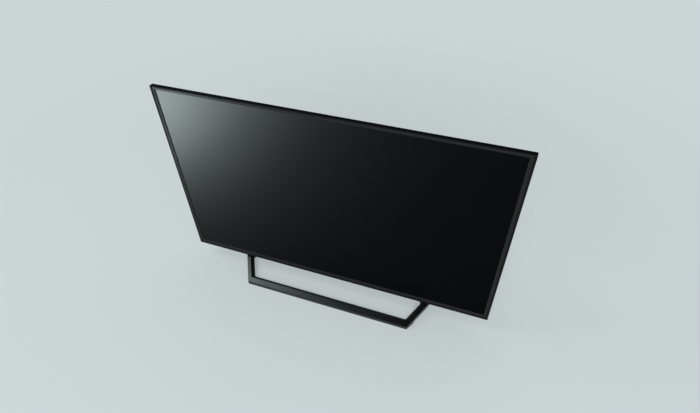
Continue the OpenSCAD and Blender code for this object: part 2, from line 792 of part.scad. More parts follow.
module speaker_boxes() color([0.1, 0.1, 0.1]) at_cabinet() {
    half = [speaker_w/2, 0, 0];
    wall = [speaker_wall, speaker_wall, speaker_wall];
    tab_w = 12;
    tab_z = [10, 30];
    for (s = [-1, 1]) {
        m = speaker_mid(s);
        lo = [m, speaker_y, speaker_low] - half;
        hi = [m, speaker_y + speaker_d, speaker_low + speaker_h] + half;
        difference() {
            block(lo, hi);
            block(lo + wall, hi - wall);
            translate([m, speaker_mid_y, 0]) along_z(speaker_low - past, speaker_low + speaker_wall + past)
                driver_oval(rim_w - fit);
        }
        // Tabs that rest on the chassis plate
        for (t = [-1, 1]) block([m + t*speaker_w/4 - tab_w/2, back_y, speaker_low + tab_z[0]],
            [m + t*speaker_w/4 + tab_w/2, speaker_y, speaker_low + tab_z[1]]);
    }
}

module speaker_baskets() color([0.35, 0.35, 0.36]) at_cabinet() {
    lip = 0.2;
    lip_h = 0.5;
    pole = [26, 5];
    pole_z = 5;
    magnet = [30, 10];
    magnet_h = 6;
    for (s = [-1, 1]) translate([speaker_mid(s), speaker_mid_y, speaker_low]) {
        difference() {
            along_z(-rim_t, 0) driver_oval(0);
            along_z(-rim_t - past, past) driver_oval(rim_w);
        }
        difference() {
            along_z(0, can_h) driver_oval(rim_w);
            along_z(-past, can_h - can_roof) driver_oval(rim_w + can_wall);
        }
        // Rim and can meet in a lip
        difference() {
            along_z(-lip_h, lip_h) driver_oval(rim_w - lip);
            along_z(-past, past) driver_oval(rim_w + can_wall);
        }
        // Pole and magnet
        along_z(pole_z, can_h - can_roof/2) square(pole, center = true);
        along_z(can_h, can_h + magnet_h) square(magnet, center = true);
    }
}

cone_len = driver_len - driver_w + cone_w;
surround_t = 1;
module speaker_surrounds() color([0.06, 0.06, 0.06]) at_cabinet()
    for (s = [-1, 1]) translate([speaker_mid(s), speaker_mid_y, speaker_low - rim_t]) difference() {
        along_z(0, surround_t) driver_oval(rim_w);
        along_z(-past, surround_t + past) oval(cone_len + 2*fit, cone_w + 2*fit);
    }

module speaker_cone(s) color([0.2, 0.2, 0.2]) at_cabinet() {
    plate_t = 1;
    former_len = 36;
    former_wall = 0.7;
    former_in = 0.2;
    former_top = rim_t + can_h - can_roof - cone_travel - 2.4;
    translate([speaker_mid(s), speaker_mid_y, speaker_low - rim_t]) {
        along_z(cone_room, cone_room + plate_t) oval(cone_len, cone_w);
        difference() {
            along_z(plate_t, former_top) oval(former_len, cone_w - 2*former_in);
            along_z(cone_room + plate_t, former_top + past)
                oval(former_len - 2*former_wall, cone_w - 2*former_in - 2*former_wall);
        }
    }
}
module left_speaker_cone() speaker_cone(-1);
module right_speaker_cone() speaker_cone(1);

module speaker_wires() color([0.6, 0.1, 0.1]) at_cabinet() {
    wire = 1.8;
    box_in = 20;
    spread = 5;
    run_y = back_y + 0.7;
    run_z = bracket_h + 4;
    plug_y = parts_y + 2;
    for (s = [-1, 1]) {
        x = speaker_mid(s) - s*box_in;
        end_x = main_at[0] + main_w - speaker_plug_right + speaker_plug_w/2 + s*spread;
        // Out of the box, across behind the brackets, and up into the connector
        block([x, speaker_mid_y, speaker_low + speaker_h], [x + wire, speaker_mid_y + wire, run_z + wire]);
        block([x, run_y, run_z], [x + wire, speaker_mid_y + wire, run_z + wire]);
        block([min(x, end_x), run_y, run_z], [max(x, end_x) + wire, run_y + wire, run_z + wire]);
        block([end_x, run_y, run_z], [end_x + wire, plug_y + wire, run_z + wire]);
        block([end_x, plug_y, run_z], [end_x + wire, plug_y + wire, main_z]);
    }
}

// The keys on the back

module key_board() color([0.08, 0.3, 0.16]) at_cabinet()
    board(key_board_at, [key_board_w, key_board_l]);

rocker_press_in = 2.5;
rocker_press = rocker_len/2 - rocker_press_in;
function switch_z() = [key_z - key_pitch, key_z - rocker_press, key_z + rocker_press, key_z + key_pitch];
module key_switches() color([0.1, 0.1, 0.1]) at_cabinet() {
    body = 5;
    plunger_r = 1.5;
    for (z = switch_z()) {
        block([key_x - body/2, parts_y, z - body/2], [key_x + body/2, parts_y + switch_h, z + body/2]);
        rod_y(key_x, z, plunger_r, parts_y + switch_h, key_back_y - key_travel - key_rest);
    }
}

module round_key(z) at_cabinet() {
    flange = 1.2;
    rod_y(key_x, z, key_r + flange, key_back_y, key_back_y + key_flange_t);
    rod_y(key_x, z, key_r, key_back_y, slab_d + key_proud);
}
module power_button() color([0.08, 0.08, 0.08]) round_key(key_z + key_pitch);
module input_button() color([0.08, 0.08, 0.08]) round_key(key_z - key_pitch);

rocker_ear = 2.6;
rocker_pin_r = 1;
module volume_rocker() color([0.08, 0.08, 0.08]) at_cabinet() {
    pin_half = rocker_w/2 + rocker_ear + fit;
    block([key_x - rocker_w/2, key_back_y, key_z - rocker_len/2],
        [key_x + rocker_w/2, slab_d + key_proud, key_z + rocker_len/2]);
    rod_x(rocker_pin_y, key_z, rocker_pin_r, key_x - pin_half, key_x + pin_half);
}

// The infrared window under the lower bezel

ir_half = 11.7;
ir_y0 = 3.3;
ir_y1 = 7.7;
ir_flange = 1;
module infrared_lens() color([0.15, 0.03, 0.03]) at_cabinet() {
    below = 2;
    side = 2;
    lip = 0.4;
    block([-ir_half, ir_y0, -below], [ir_half, ir_y1, bezel_wall + ir_flange]);
    block([-ir_half - side, ir_y0 - lip, bezel_wall], [ir_half + side, ir_y1 + lip, bezel_wall + ir_flange]);
}
module infrared_board() color([0.08, 0.3, 0.16]) at_cabinet() {
    y = sheets_y + 0.3;
    thick = 1;
    top = open_z0 - tray_inset - chassis_flange + 1;
    block([-ir_half, y, bezel_wall + ir_flange], [ir_half, y + thick, top]);
}

// The rear cover

// How far the slab's leaning sides lie inside the rim at depth y, drawn in by t
function slab_inset(y, t) = slab_slope*(y - bezel_d) + t*sqrt(1 + pow(slab_slope, 2));
module cover_solid(t) {
    // Upper slab, lower bulge and socket deck, drawn in by t all round
    y0 = bezel_d - (t > 0 ? past : 0);
    intersection() {
        along_x(-tv_w/2, tv_w/2) polygon([[y0, rim_z0 + t], [y0, rim_z1 - slab_inset(y0, t)],
            [slab_d - t, rim_z1 - slab_inset(slab_d - t, t)], [slab_d - t, rim_z0 + slab_rise + t/2],
            [slab_low_d - t/2, rim_z0 + t]]);
        along_z(0, tv_h) polygon([[-rim_x + slab_inset(y0, t), y0], [rim_x - slab_inset(y0, t), y0],
            [rim_x - slab_inset(slab_d - t, t), slab_d - t],
            [-rim_x + slab_inset(slab_d - t, t), slab_d - t]]);
    }
    intersection() {
        along_x(bulge_left + t, bulge_x - t) polygon([[y0, rim_z0 + t], [bulge_low_d - t/2, rim_z0 + t],
            [tv_d - t, bulge_low_z + t/2], [tv_d - t, bulge_h - bulge_top_run - t/2],
            [slab_d - t, bulge_h - t], [y0, bulge_h - t]]);
        along_z(rim_z0, bulge_h) polygon([[bulge_left + t, y0], [bulge_left + t, slab_d - t/2],
            [bulge_left + bulge_run + t/2, tv_d - t], [bulge_x - bulge_run - t/2, tv_d - t],
            [bulge_x - t, slab_d - t/2], [bulge_x - t, y0]]);
    }
    intersection() {
        along_x(deck_x0 + t, deck_x1) polygon([[y0, deck_z0 + t], [slab_d - t/2, deck_z0 + t],
            [deck_d - t, deck_z0 + deck_run + t/2], [deck_d - t, deck_z1 - deck_run - t/2],
            [slab_d - t/2, deck_z1 - t], [y0, deck_z1 - t]]);
        block([deck_x0 + t, y0, deck_z0], [deck_x1, deck_d - t, deck_z1]);
    }
    // The lower wing on the left, so that the speaker there has the bulge's depth
    intersection() {
        along_x(-bulge_x + t, bulge_left + bulge_run) polygon([[y0, rim_z0 + t],
            [bulge_low_d - t/2, rim_z0 + t], [wing_d - t, wing_low_z + t/2],
            [wing_d - t, wing_z1 - wing_run - t/2], [slab_d - t/2, wing_z1 - t], [y0, wing_z1 - t]]);
        block([-bulge_x + t, y0, rim_z0], [bulge_left + bulge_run, tv_d, wing_z1]);
    }
}

vent_up = 14;
vent_gap = 6;
vent_low_n = 20;
vent_low_pitch = 5;
vent_low_w = 2.4;
vent_low_len = 14;
module cover_cuts() {
    hole_r = vesa_boss_r + fit;
    // Pocket with the side sockets
    block([deck_x0 - pocket_w, pocket_y, pocket_z0], [deck_x0, tv_d, pocket_z1]);
    // Screw wells
    for (p = cover_screw_at) {
        rod_y(p[0], p[1], well_bore_r, well_y + well_floor, tv_d);
        rod_y(p[0], p[1], cover_screw_r + fit, well_y - past, tv_d);
    }
    // Wall-mount bosses
    for (p = vesa_at) rod_y(p[0], p[1], hole_r, slab_d, tv_d + past);
    // Keys, and the recess over them where the bulge reaches that far
    block([key_board_at[0], slab_d, key_board_at[1]],
        [key_board_at[0] + key_board_w, tv_d + past, key_board_at[1] + key_board_l]);
    for (s = [-1, 1]) rod_y(key_x, key_z + s*key_pitch, key_r + fit, slab_in_y - past, slab_d + past);
    block([key_x - rocker_w/2 - fit, slab_in_y - past, key_z - rocker_len/2 - fit],
        [key_x + rocker_w/2 + fit, slab_d + past, key_z + rocker_len/2 + fit]);
    // Slots for the stand brackets
    for (s = [-1, 1]) block([s*bracket_x - bracket_w/2 - fit, back_y - fit, 0],
        [s*bracket_x + bracket_w/2 + fit, back_y + bracket_t + fit, rim_z0 + cover_t + past]);
    // Cooling slots in two rows above the bulge, and sound slots under the speakers
    for (i = [-vent_n : vent_n], row = [0, 1])
        let (z = bulge_h + vent_up + row*(vent_len + vent_gap))
        block([i*vent_pitch - vent_w/2, slab_in_y - past, z],
            [i*vent_pitch + vent_w/2, slab_d + past, z + vent_len]);
    for (s = [-1, 1], i = [0 : vent_low_n - 1])
        let (x = speaker_mid(s) + (i - (vent_low_n - 1)/2)*vent_low_pitch)
        block([x - vent_low_w/2, speaker_mid_y - vent_low_len/2, 0],
            [x + vent_low_w/2, speaker_mid_y + vent_low_len/2, rim_z0 + cover_t + past]);
    // Windows for the sockets and the mains inlet
    side_windows(fit);
    rear_windows(fit);
    block([inlet_at[0] - inlet_size[0]/2 - fit, slab_d, inlet_at[1] - inlet_size[1]/2 - fit],
        [inlet_at[0] + inlet_size[0]/2 + fit, tv_d + past, inlet_at[1] + inlet_size[1]/2 + fit]);
}

module rear_cover() color([0.07, 0.07, 0.075]) at_cabinet() {
    ear_r = rocker_pin_r + screw_fit;
    ear_low = 1;
    ear_h = 5;
    bore_half = rocker_w/2 + rocker_ear + 2*fit;
    difference() {
        union() {
            difference() {
                cover_solid(0);
                cover_solid(cover_t);
            }
            // Walls of the side pocket
            intersection() {
                cover_solid(0);
                block([deck_x0 - pocket_w - cover_t, pocket_y - cover_t, pocket_z0 - cover_t],
                    [deck_x0 + cover_t, deck_d, pocket_z1 + cover_t]);
            }
            // Floor and walls of the key recess
            intersection() {
                cover_solid(0);
                block([key_board_at[0] - cover_t, slab_in_y, key_board_at[1] - cover_t],
                    [key_board_at[0] + key_board_w + cover_t, tv_d, key_board_at[1] + key_board_l + cover_t]);
            }
            // Wells of the cover screws
            for (p = cover_screw_at) rod_y(p[0], p[1], well_r, well_y, slab_in_y + cover_t/2);
            // Ears that hold the rocker's pin
            for (s = [-1, 1]) {
                x = key_x + s*(rocker_w/2 + fit + rocker_ear/2);
                block([x - rocker_ear/2, key_back_y - ear_low, key_z - ear_h/2],
                    [x + rocker_ear/2, slab_in_y + cover_t/2, key_z + ear_h/2]);
            }
        }
        cover_cuts();
        rod_x(rocker_pin_y, key_z, ear_r, key_x - bore_half, key_x + bore_half);
    }
}

module cover_screws() color([0.1, 0.1, 0.1]) at_cabinet() {
    head_r = 3.4;
    head_h = 2.2;
    bite = 5;
    for (p = cover_screw_at)
        screw_y(p[0], p[1], well_y + well_floor, cover_screw_r, head_r, head_h, well_floor + bite);
}

vesa_at = [for (x = [-1, 1], z = [-1, 1]) [x*vesa_x/2, vesa_mid_z + z*vesa_z/2]];
module wall_mount_bosses() color([0.7, 0.7, 0.7]) at_cabinet()
    for (p = vesa_at) difference() {
        rod_y(p[0], p[1], vesa_boss_r, back_y, tv_d);
        rod_y(p[0], p[1], vesa_hole_r, tv_d - vesa_depth, tv_d + past);
    }

// The sockets: a column facing sideways in the pocket, and a row facing back on the deck

hdmi = [15, 6, 11.5];
usb = [13.4, 6.2, 13];
phone = [12, 7, 12];
lan = [16, 14, 16.4];
optic = [10, 10, 14];
deck_sink = 0.4;
deck_top = deck_d - deck_sink;
// Sockets' places: the side column up from the main board's edge, the rear row in from the deck's wall
side_phone_up = 56;
side_usb_up = 78;
side_usb_pitch = 18;
side_hdmi_up = 118;
side_hdmi_z = main_z + side_hdmi_up;
side_usb_z = [main_z + side_usb_up, main_z + side_usb_up + side_usb_pitch];
side_phone_z = main_z + side_phone_up;
rear_up = 32;
rear_z = main_z + rear_up;
lan_in = 28;
optic_in = 54;
phono_in = 78;
antenna_in = 122;
lan_x = deck_x0 + lan_in;
optic_x = deck_x0 + optic_in;
phono_x = deck_x0 + phono_in;
phono_n = 3;
phono_pitch = 14;
phono_barrel_r = 4.15;
antenna_x = deck_x0 + antenna_in;
antenna_collar = 1.6;
rear_hdmi_in = 46;
rear_hdmi_down = 16;
rear_hdmi_x = deck_x0 + rear_hdmi_in;
rear_hdmi_z = main_z + main_h - rear_hdmi_down;
// Windows reach this far into the cover
window_in = 4;
module side_windows(g) {
    side_block(side_hdmi_z, hdmi, g);
    for (z = side_usb_z) side_block(z, usb, g);
    side_block(side_phone_z, phone, g);
}
module side_block(z, size, g) block([deck_x0 - past, parts_y - g, z - size[0]/2 - g],
    [deck_x0 + window_in, parts_y + size[1] + g, z + size[0]/2 + g]);
module rear_block(x, z, w, h, g) block([x - w/2 - g, deck_d - window_in, z - h/2 - g],
    [x + w/2 + g, deck_d + past, z + h/2 + g]);
module rear_windows(g) {
    rear_block(lan_x, rear_z, lan[0], lan[1], g);
    rear_block(optic_x, rear_z, optic[0], optic[1], g);
    rear_block(rear_hdmi_x, rear_hdmi_z, hdmi[0], hdmi[1], g);
    rod_y(antenna_x, rear_z, antenna_r + antenna_collar + g, slab_d, deck_d + past);
    for (i = [0 : phono_n - 1])
        rod_y(phono_x + i*phono_pitch, rear_z, phono_barrel_r + g, slab_d, deck_d + past);
}

// How far a socket's tongue stands off the shell's sides, and behind its mouth
tongue_side = 3;
tongue_in = 1;
socket_shell = 0.6;
// A plug socket along X with a thin shell and a tongue, its mouth at the pocket's wall
module side_socket(z, size, tongue) {
    floor_t = 2;
    mid_y = parts_y + size[1]/2;
    difference() {
        block([deck_x0, parts_y, z - size[0]/2], [deck_x0 + size[2], parts_y + size[1], z + size[0]/2]);
        difference() {
            block([deck_x0 - past, parts_y + socket_shell, z - size[0]/2 + socket_shell],
                [deck_x0 + size[2] - floor_t, parts_y + size[1] - socket_shell, z + size[0]/2 - socket_shell]);
            block([deck_x0 + tongue_in, mid_y - tongue/2, z - size[0]/2 + tongue_side],
                [deck_x0 + size[2], mid_y + tongue/2, z + size[0]/2 - tongue_side]);
        }
    }
}
module hdmi_sockets() color([0.6, 0.6, 0.6]) at_cabinet() {
    tongue = 1;
    deep = 9;
    half = hdmi/2;
    side_socket(side_hdmi_z, hdmi, tongue);
    translate([rear_hdmi_x, 0, rear_hdmi_z]) difference() {
        block([-half[0], parts_y, -half[1]], [half[0], deck_top, half[1]]);
        difference() {
            block([-half[0] + socket_shell, deck_top - deep, -half[1] + socket_shell],
                [half[0] - socket_shell, deck_top + past, half[1] - socket_shell]);
            block([-half[0] + tongue_side, deck_top - deep - past, -tongue/2],
                [half[0] - tongue_side, deck_top - tongue_in, tongue/2]);
        }
    }
}
module usb_sockets() color([0.6, 0.6, 0.6]) at_cabinet() {
    tongue = 1.9;
    for (z = side_usb_z) side_socket(z, usb, tongue);
}

module headphone_jack() color([0.06, 0.06, 0.06]) at_cabinet() {
    end_t = 1;
    difference() {
        block([deck_x0, parts_y, side_phone_z - phone[0]/2],
            [deck_x0 + phone[2], parts_y + phone[1], side_phone_z + phone[0]/2]);
        rod_x(parts_y + phone[1]/2, side_phone_z, phone_r, deck_x0 - past, deck_x0 + phone[2] - end_t);
    }
}

module lan_socket() color([0.55, 0.55, 0.56]) at_cabinet() {
    mouth_half = 5.9;
    mouth_low = 4.2;
    mouth_up = 3.6;
    latch_half = 3;
    latch_up = 5.6;
    deep = 12;
    translate([lan_x, 0, rear_z]) difference() {
        block([-lan[0]/2, parts_y, -lan[1]/2], [lan[0]/2, deck_top, lan[1]/2]);
        block([-mouth_half, deck_top - deep, -mouth_low], [mouth_half, deck_top + past, mouth_up]);
        block([-latch_half, deck_top - deep, mouth_up - past], [latch_half, deck_top + past, latch_up]);
    }
}

module optical_socket() color([0.05, 0.05, 0.05]) at_cabinet() {
    mouth_half = 3.2;
    deep = 8;
    translate([optic_x, 0, rear_z]) difference() {
        block([-optic[0]/2, parts_y, -optic[1]/2], [optic[0]/2, deck_top, optic[1]/2]);
        block([-mouth_half, deck_top - deep, -mouth_half], [mouth_half, deck_top + past, mouth_half]);
    }
}

module phono_jacks() color([0.75, 0.72, 0.6]) at_cabinet() {
    body = 12.4;
    barrel_out = 6;
    bore_r = 1.6;
    bore_deep = 10;
    end_y = deck_d + barrel_out;
    block([phono_x - body/2, parts_y, rear_z - body/2],
        [phono_x + (phono_n - 1)*phono_pitch + body/2, slab_d, rear_z + body/2]);
    for (i = [0 : phono_n - 1]) difference() {
        rod_y(phono_x + i*phono_pitch, rear_z, phono_barrel_r, slab_d - past, end_y);
        rod_y(phono_x + i*phono_pitch, rear_z, bore_r, end_y - bore_deep, end_y + past);
    }
}

module antenna_socket() color([0.78, 0.75, 0.62]) at_cabinet() {
    body = 16;
    body_up = 5;
    collar_out = 0.5;
    barrel_len = 9;
    bore_r = 1.2;
    end_y = deck_d + collar_out + barrel_len;
    difference() {
        union() {
            block([antenna_x - body/2, parts_y, rear_z - body/2],
                [antenna_x + body/2, slab_d + body_up, rear_z + body/2]);
            rod_y(antenna_x, rear_z, antenna_r + antenna_collar, slab_d, deck_d + collar_out);
            rod_y(antenna_x, rear_z, antenna_r, slab_d, end_y);
        }
        rod_y(antenna_x, rear_z, bore_r, deck_d, end_y + past);
    }
}

inlet_size = [26, 16];
inlet_mouth_r = 4.1;
inlet_pitch = 8.6;
inlet_deep = 13;
inlet_body_d = 20;
mains_pin_r = 1.2;
mains_pin_in = 3;
mains_pin_end = tv_d - inlet_body_d - 4;
module mains_inlet() color([0.04, 0.04, 0.04]) at_cabinet() {
    flange = 3;
    flange_t = 2;
    half = inlet_size/2;
    translate([inlet_at[0], 0, inlet_at[1]]) difference() {
        union() {
            block([-half[0], tv_d - inlet_body_d, -half[1]], [half[0], tv_d, half[1]]);
            block([-half[0] - flange, cover_in_y - flange_t, -half[1] - flange],
                [half[0] + flange, cover_in_y, half[1] + flange]);
        }
        along_y(tv_d - inlet_deep, tv_d + past) oval(inlet_pitch + 2*inlet_mouth_r, 2*inlet_mouth_r);
        for (s = [-1, 1]) rod_y(s*inlet_pitch/2, 0, mains_pin_r + screw_fit, tv_d - inlet_body_d - past, tv_d);
    }
}
module mains_pins() color([0.8, 0.75, 0.5]) at_cabinet()
    for (s = [-1, 1])
        rod_y(inlet_at[0] + s*inlet_pitch/2, inlet_at[1], mains_pin_r, mains_pin_end, tv_d - mains_pin_in);

module mains_leads() color([0.15, 0.25, 0.5]) at_cabinet() {
    lead_r = 1.4;
    for (s = [-1, 1]) rod_y(inlet_at[0] + s*inlet_pitch/2, inlet_at[1], lead_r, parts_y, mains_pin_end);
}

// The stand

function stand_half(y) = stand_bar_l/2 + stand_spread*y;
function stand_top(y) = stand_edge_h + stand_slope*y;
// The corner p between points a and b, rounded to radius r with n steps, going round to the left
function unit(v) = v/norm(v);
function round_corner(p, a, b, r, n) = let (u = unit(a - p), v = unit(b - p), half = acos(u*v)/2,
    mid = p + unit(u + v)*r/sin(half), from = p + u*r/tan(half) - mid, start = atan2(from[1], from[0]))
    [for (i = [0 : n]) mid + r*[cos(start + (180 - 2*half)*i/n), sin(start + (180 - 2*half)*i/n)]];
loop_steps = 5;
// Outline of the opening at a depth below the top face; y runs back from the front edge.
// The crossbar's side of it is upright.
function loop_ring(drop) = let (y0 = stand_bar_d + drop, y1 = stand_run - stand_cross_d,
    w = stand_arm_w + drop,
    quad = [for (p = [[-1, y0], [1, y0], [1, y1], [-1, y1]]) [p[0]*(stand_half(p[1]) - w), p[1]]])
    [for (i = [0 : 3]) each
        [for (q = round_corner(quad[i], quad[(i + 3) % 4], quad[(i + 1) % 4], stand_loop_r, loop_steps))
        [q[0], q[1], stand_top(q[1]) - drop]]];
// The space inside the opening's sloped faces
module loop_space() {
    upper = loop_ring(-past);
    n = len(upper);
    polyhedron(points = concat(upper, loop_ring(stand_bevel)),
        faces = concat([[for (i = [n - 1 : -1 : 0]) i]], [[for (i = [0 : n - 1]) n + i]],
        [for (i = [0 : n - 1]) let (j = (i + 1) % n) each [[i, j, n + j], [i, n + j, n + i]]]));
}
// One half of the stand: y runs from the floor bar's outer edge to the ridge
module stand_half_frame() {
    bar_back = stand_bar_d + stand_bevel;
    low = stand_edge_h - stand_t;
    land_y = stand_run - stand_land;
    difference() {
        intersection() {
            union() {
                along_x(-stand_ridge_l, stand_ridge_l) polygon([[0, stand_edge_h], [land_y, ridge_z],
                    [stand_run, ridge_z], [stand_run, ridge_z - stand_t], [land_y, ridge_z - stand_t],
                    [(foot_out - low)/stand_slope, foot_out], [0, foot_out]]);
                along_x(-stand_ridge_l, stand_ridge_l) polygon([[0, foot_out], [0, stand_edge_h],
                    [stand_bar_d, stand_top(stand_bar_d)], [bar_back, stand_top(bar_back) - stand_bevel],
                    [bar_back, foot_out]]);
            }
            along_z(0, tv_clear) polygon([[-stand_half(0), 0], [stand_half(0), 0],
                [stand_half(stand_run), stand_run], [-stand_half(stand_run), stand_run]]);
        }
        loop_space();
        along_z(-past, tv_clear) polygon([for (p = loop_ring(stand_bevel)) [p[0], p[1]]]);
        for (s = [-1, 1]) foot_block(s, foot_t - foot_out, past);
        for (x = stand_screw_x) rod_z(x, stand_run - stand_screw_back, stand_screw_r + screw_fit, 0, tv_clear);
    }
}
stand_screw_back = 5;
stand_screw_x = [for (s = [-1, 1], x = [-1, 1]) s*bracket_x + x*bracket_w/4];
foot_edge = 6;
module foot_block(s, up, down) block([s*foot_x - foot_l/2, foot_edge, foot_out - down],
    [s*foot_x + foot_l/2, foot_edge + foot_d, foot_out + up]);
module front_half() translate([0, -(stand_front + stand_rear)/2, 0]) children();
module rear_half() mirror([0, 1, 0]) front_half() children();
module stand_front_frame() color([0.06, 0.06, 0.065]) front_half() stand_half_frame();
module stand_rear_frame() color([0.06, 0.06, 0.065]) rear_half() stand_half_frame();

module stand_feet() color([0.1, 0.1, 0.1]) for (s = [-1, 1]) {
    front_half() foot_block(s, foot_t - foot_out, foot_out);
    rear_half() foot_block(s, foot_t - foot_out, foot_out);
}

module stand_brackets() color([0.25, 0.25, 0.26]) {
    tongue_y = face_y + back_y;
    for (s = [-1, 1]) difference() {
        union() {
            block([s*bracket_x - bracket_w/2, -stand_land, ridge_z],
                [s*bracket_x + bracket_w/2, stand_land, ridge_z + bracket_t]);
            block([s*bracket_x - bracket_w/2, tongue_y, ridge_z],
                [s*bracket_x + bracket_w/2, tongue_y + bracket_t, tv_clear + bracket_h]);
        }
        for (x = stand_screw_x, t = [-1, 1])
            rod_z(x, t*stand_screw_back, stand_screw_r + screw_fit, 0, tv_clear);
        at_cabinet() for (p = bracket_screw_at)
            rod_y(p[0], p[1], stand_screw_r + screw_fit, back_y - past, back_y + bracket_t + past);
    }
}

module stand_screws() color([0.2, 0.2, 0.2]) {
    head_r = 3.6;
    head_h = 2.4;
    seat_z = ridge_z - stand_t;
    for (x = stand_screw_x, t = [-1, 1]) {
        rod_z(x, t*stand_screw_back, head_r, seat_z - head_h, seat_z);
        rod_z(x, t*stand_screw_back, stand_screw_r, seat_z - past, ridge_z + bracket_t);
    }
}

module bracket_screws() color([0.75, 0.75, 0.75]) at_cabinet() {
    head_r = 3.8;
    head_h = 2.6;
    for (p = bracket_screw_at)
        screw_y(p[0], p[1], back_y + bracket_t, stand_screw_r, head_r, head_h, bracket_t + chassis_t);
}

front_bezel();
lcd_panel();
source_boards();
source_flex_films();
middle_frame();
optical_sheets();
diffuser_plate();
reflector_sheet();
led_bars();
led_lenses();
diffuser_pins();
rear_chassis();
frame_screws();
main_board();
main_board_parts();
main_heatsink();
power_board();
power_transformers();
power_capacitors();
power_heatsink();
timing_board();
timing_shield();
panel_ribbons();
led_harness();
wireless_module();
board_screws();
speaker_boxes();
speaker_baskets();
speaker_surrounds();
left_speaker_cone();
right_speaker_cone();
speaker_wires();
key_board();
key_switches();
power_button();
input_button();
volume_rocker();
infrared_board();
infrared_lens();
rear_cover();
cover_screws();
wall_mount_bosses();
hdmi_sockets();
usb_sockets();
headphone_jack();
phono_jacks();
lan_socket();
antenna_socket();
optical_socket();
mains_inlet();
mains_pins();
mains_leads();
stand_front_frame();
stand_rear_frame();
stand_brackets();
stand_screws();
bracket_screws();
stand_feet();
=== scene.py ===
"""The finish of a flat screen television on an open stand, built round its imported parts.

Lengths are metres, unless a name says mm.
"""
import math

import bmesh
import bpy
from mathutils import Matrix, Vector


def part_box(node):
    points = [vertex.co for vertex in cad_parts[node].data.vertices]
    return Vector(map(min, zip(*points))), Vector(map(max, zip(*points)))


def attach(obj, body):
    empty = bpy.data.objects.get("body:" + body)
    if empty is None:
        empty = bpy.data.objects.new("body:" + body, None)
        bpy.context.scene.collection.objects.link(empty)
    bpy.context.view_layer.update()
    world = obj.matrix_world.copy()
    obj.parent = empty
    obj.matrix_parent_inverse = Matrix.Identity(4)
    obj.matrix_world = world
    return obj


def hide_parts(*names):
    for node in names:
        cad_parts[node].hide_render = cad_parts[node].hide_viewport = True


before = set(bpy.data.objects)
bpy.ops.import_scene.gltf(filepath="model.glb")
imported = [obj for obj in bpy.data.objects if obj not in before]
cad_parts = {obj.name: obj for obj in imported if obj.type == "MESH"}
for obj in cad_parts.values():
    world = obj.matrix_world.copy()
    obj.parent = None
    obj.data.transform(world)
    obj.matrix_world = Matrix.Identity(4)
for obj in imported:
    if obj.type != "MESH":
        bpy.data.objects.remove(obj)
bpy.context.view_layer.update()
scene = bpy.context.scene
scene.view_settings.view_transform = "Standard"
mm = 0.001

# The view: a wide lens above the set and to its right, looking down on it, so that the picture's sides
# draw in towards the floor. The lens has no shift, and everything is sharp.
lens_mm, sensor_mm = 24.264, 36.0
eye = Vector((0.2980, -0.6851, 0.9200))
yaw, pitch, roll = (math.radians(degrees) for degrees in (20.67, 42.30, 1.30))
ahead = Vector((-math.sin(yaw)*math.cos(pitch), math.cos(yaw)*math.cos(pitch), -math.sin(pitch)))
level = Vector((math.cos(yaw), math.sin(yaw), 0.0))
below = ahead.cross(level)
right = math.cos(roll)*level + math.sin(roll)*below
down = math.cos(roll)*below - math.sin(roll)*level
camera = bpy.data.objects.new("camera", bpy.data.cameras.new("camera"))
camera.data.lens = lens_mm
camera.data.sensor_width = sensor_mm
camera.data.sensor_fit = "HORIZONTAL"
camera.matrix_world = Matrix.Translation(eye) @ Matrix((right, -down, -ahead)).transposed().to_4x4()
scene.collection.objects.link(camera)
scene.camera = camera


# The studio: pale seamless paper, an even fill from all round, a softbox up on the left with a card before it
# that gives its sheen, and a large soft lamp in front. A dark flag overhead keeps the gloss of the tops low.
# Two cards low on the left show only as gloss, one on the picture and a smaller one on the bezel.
floor_pale, floor_dark = "#CCD5D6", "#C8D1D2"
floor_half, floor_glow, floor_near, floor_far = 20.0, 0.4, 0.45, 1.7
fill_strength, flag_half, flag_up = 0.49, 12.0, 4.2
noise_low, noise_high, spot_detail, grain_detail = 0.3, 0.7, 3.0, 2.0


def linear(code):
    """An sRGB hex colour as linear red, green, blue and alpha."""
    parts = [int(code[i:i + 2], 16)/255 for i in (1, 3, 5)]
    return [c/12.92 if c <= 0.04045 else ((c + 0.055)/1.055)**2.4 for c in parts] + [1.0]


def add(tree, kind, sockets=None, **settings):
    """One node of a tree. settings are its own properties, and sockets are its inputs: each a value, or one
    or more outputs to link to it."""
    made = tree.nodes.new(kind)
    for name, value in settings.items():
        setattr(made, name, value)
    for name, value in (sockets or {}).items():
        sources = value if isinstance(value, list) else [value]
        if isinstance(sources[0], bpy.types.NodeSocket):
            for source in sources:
                tree.links.new(source, made.inputs[name])
        else:
            made.inputs[name].default_value = value
    return made


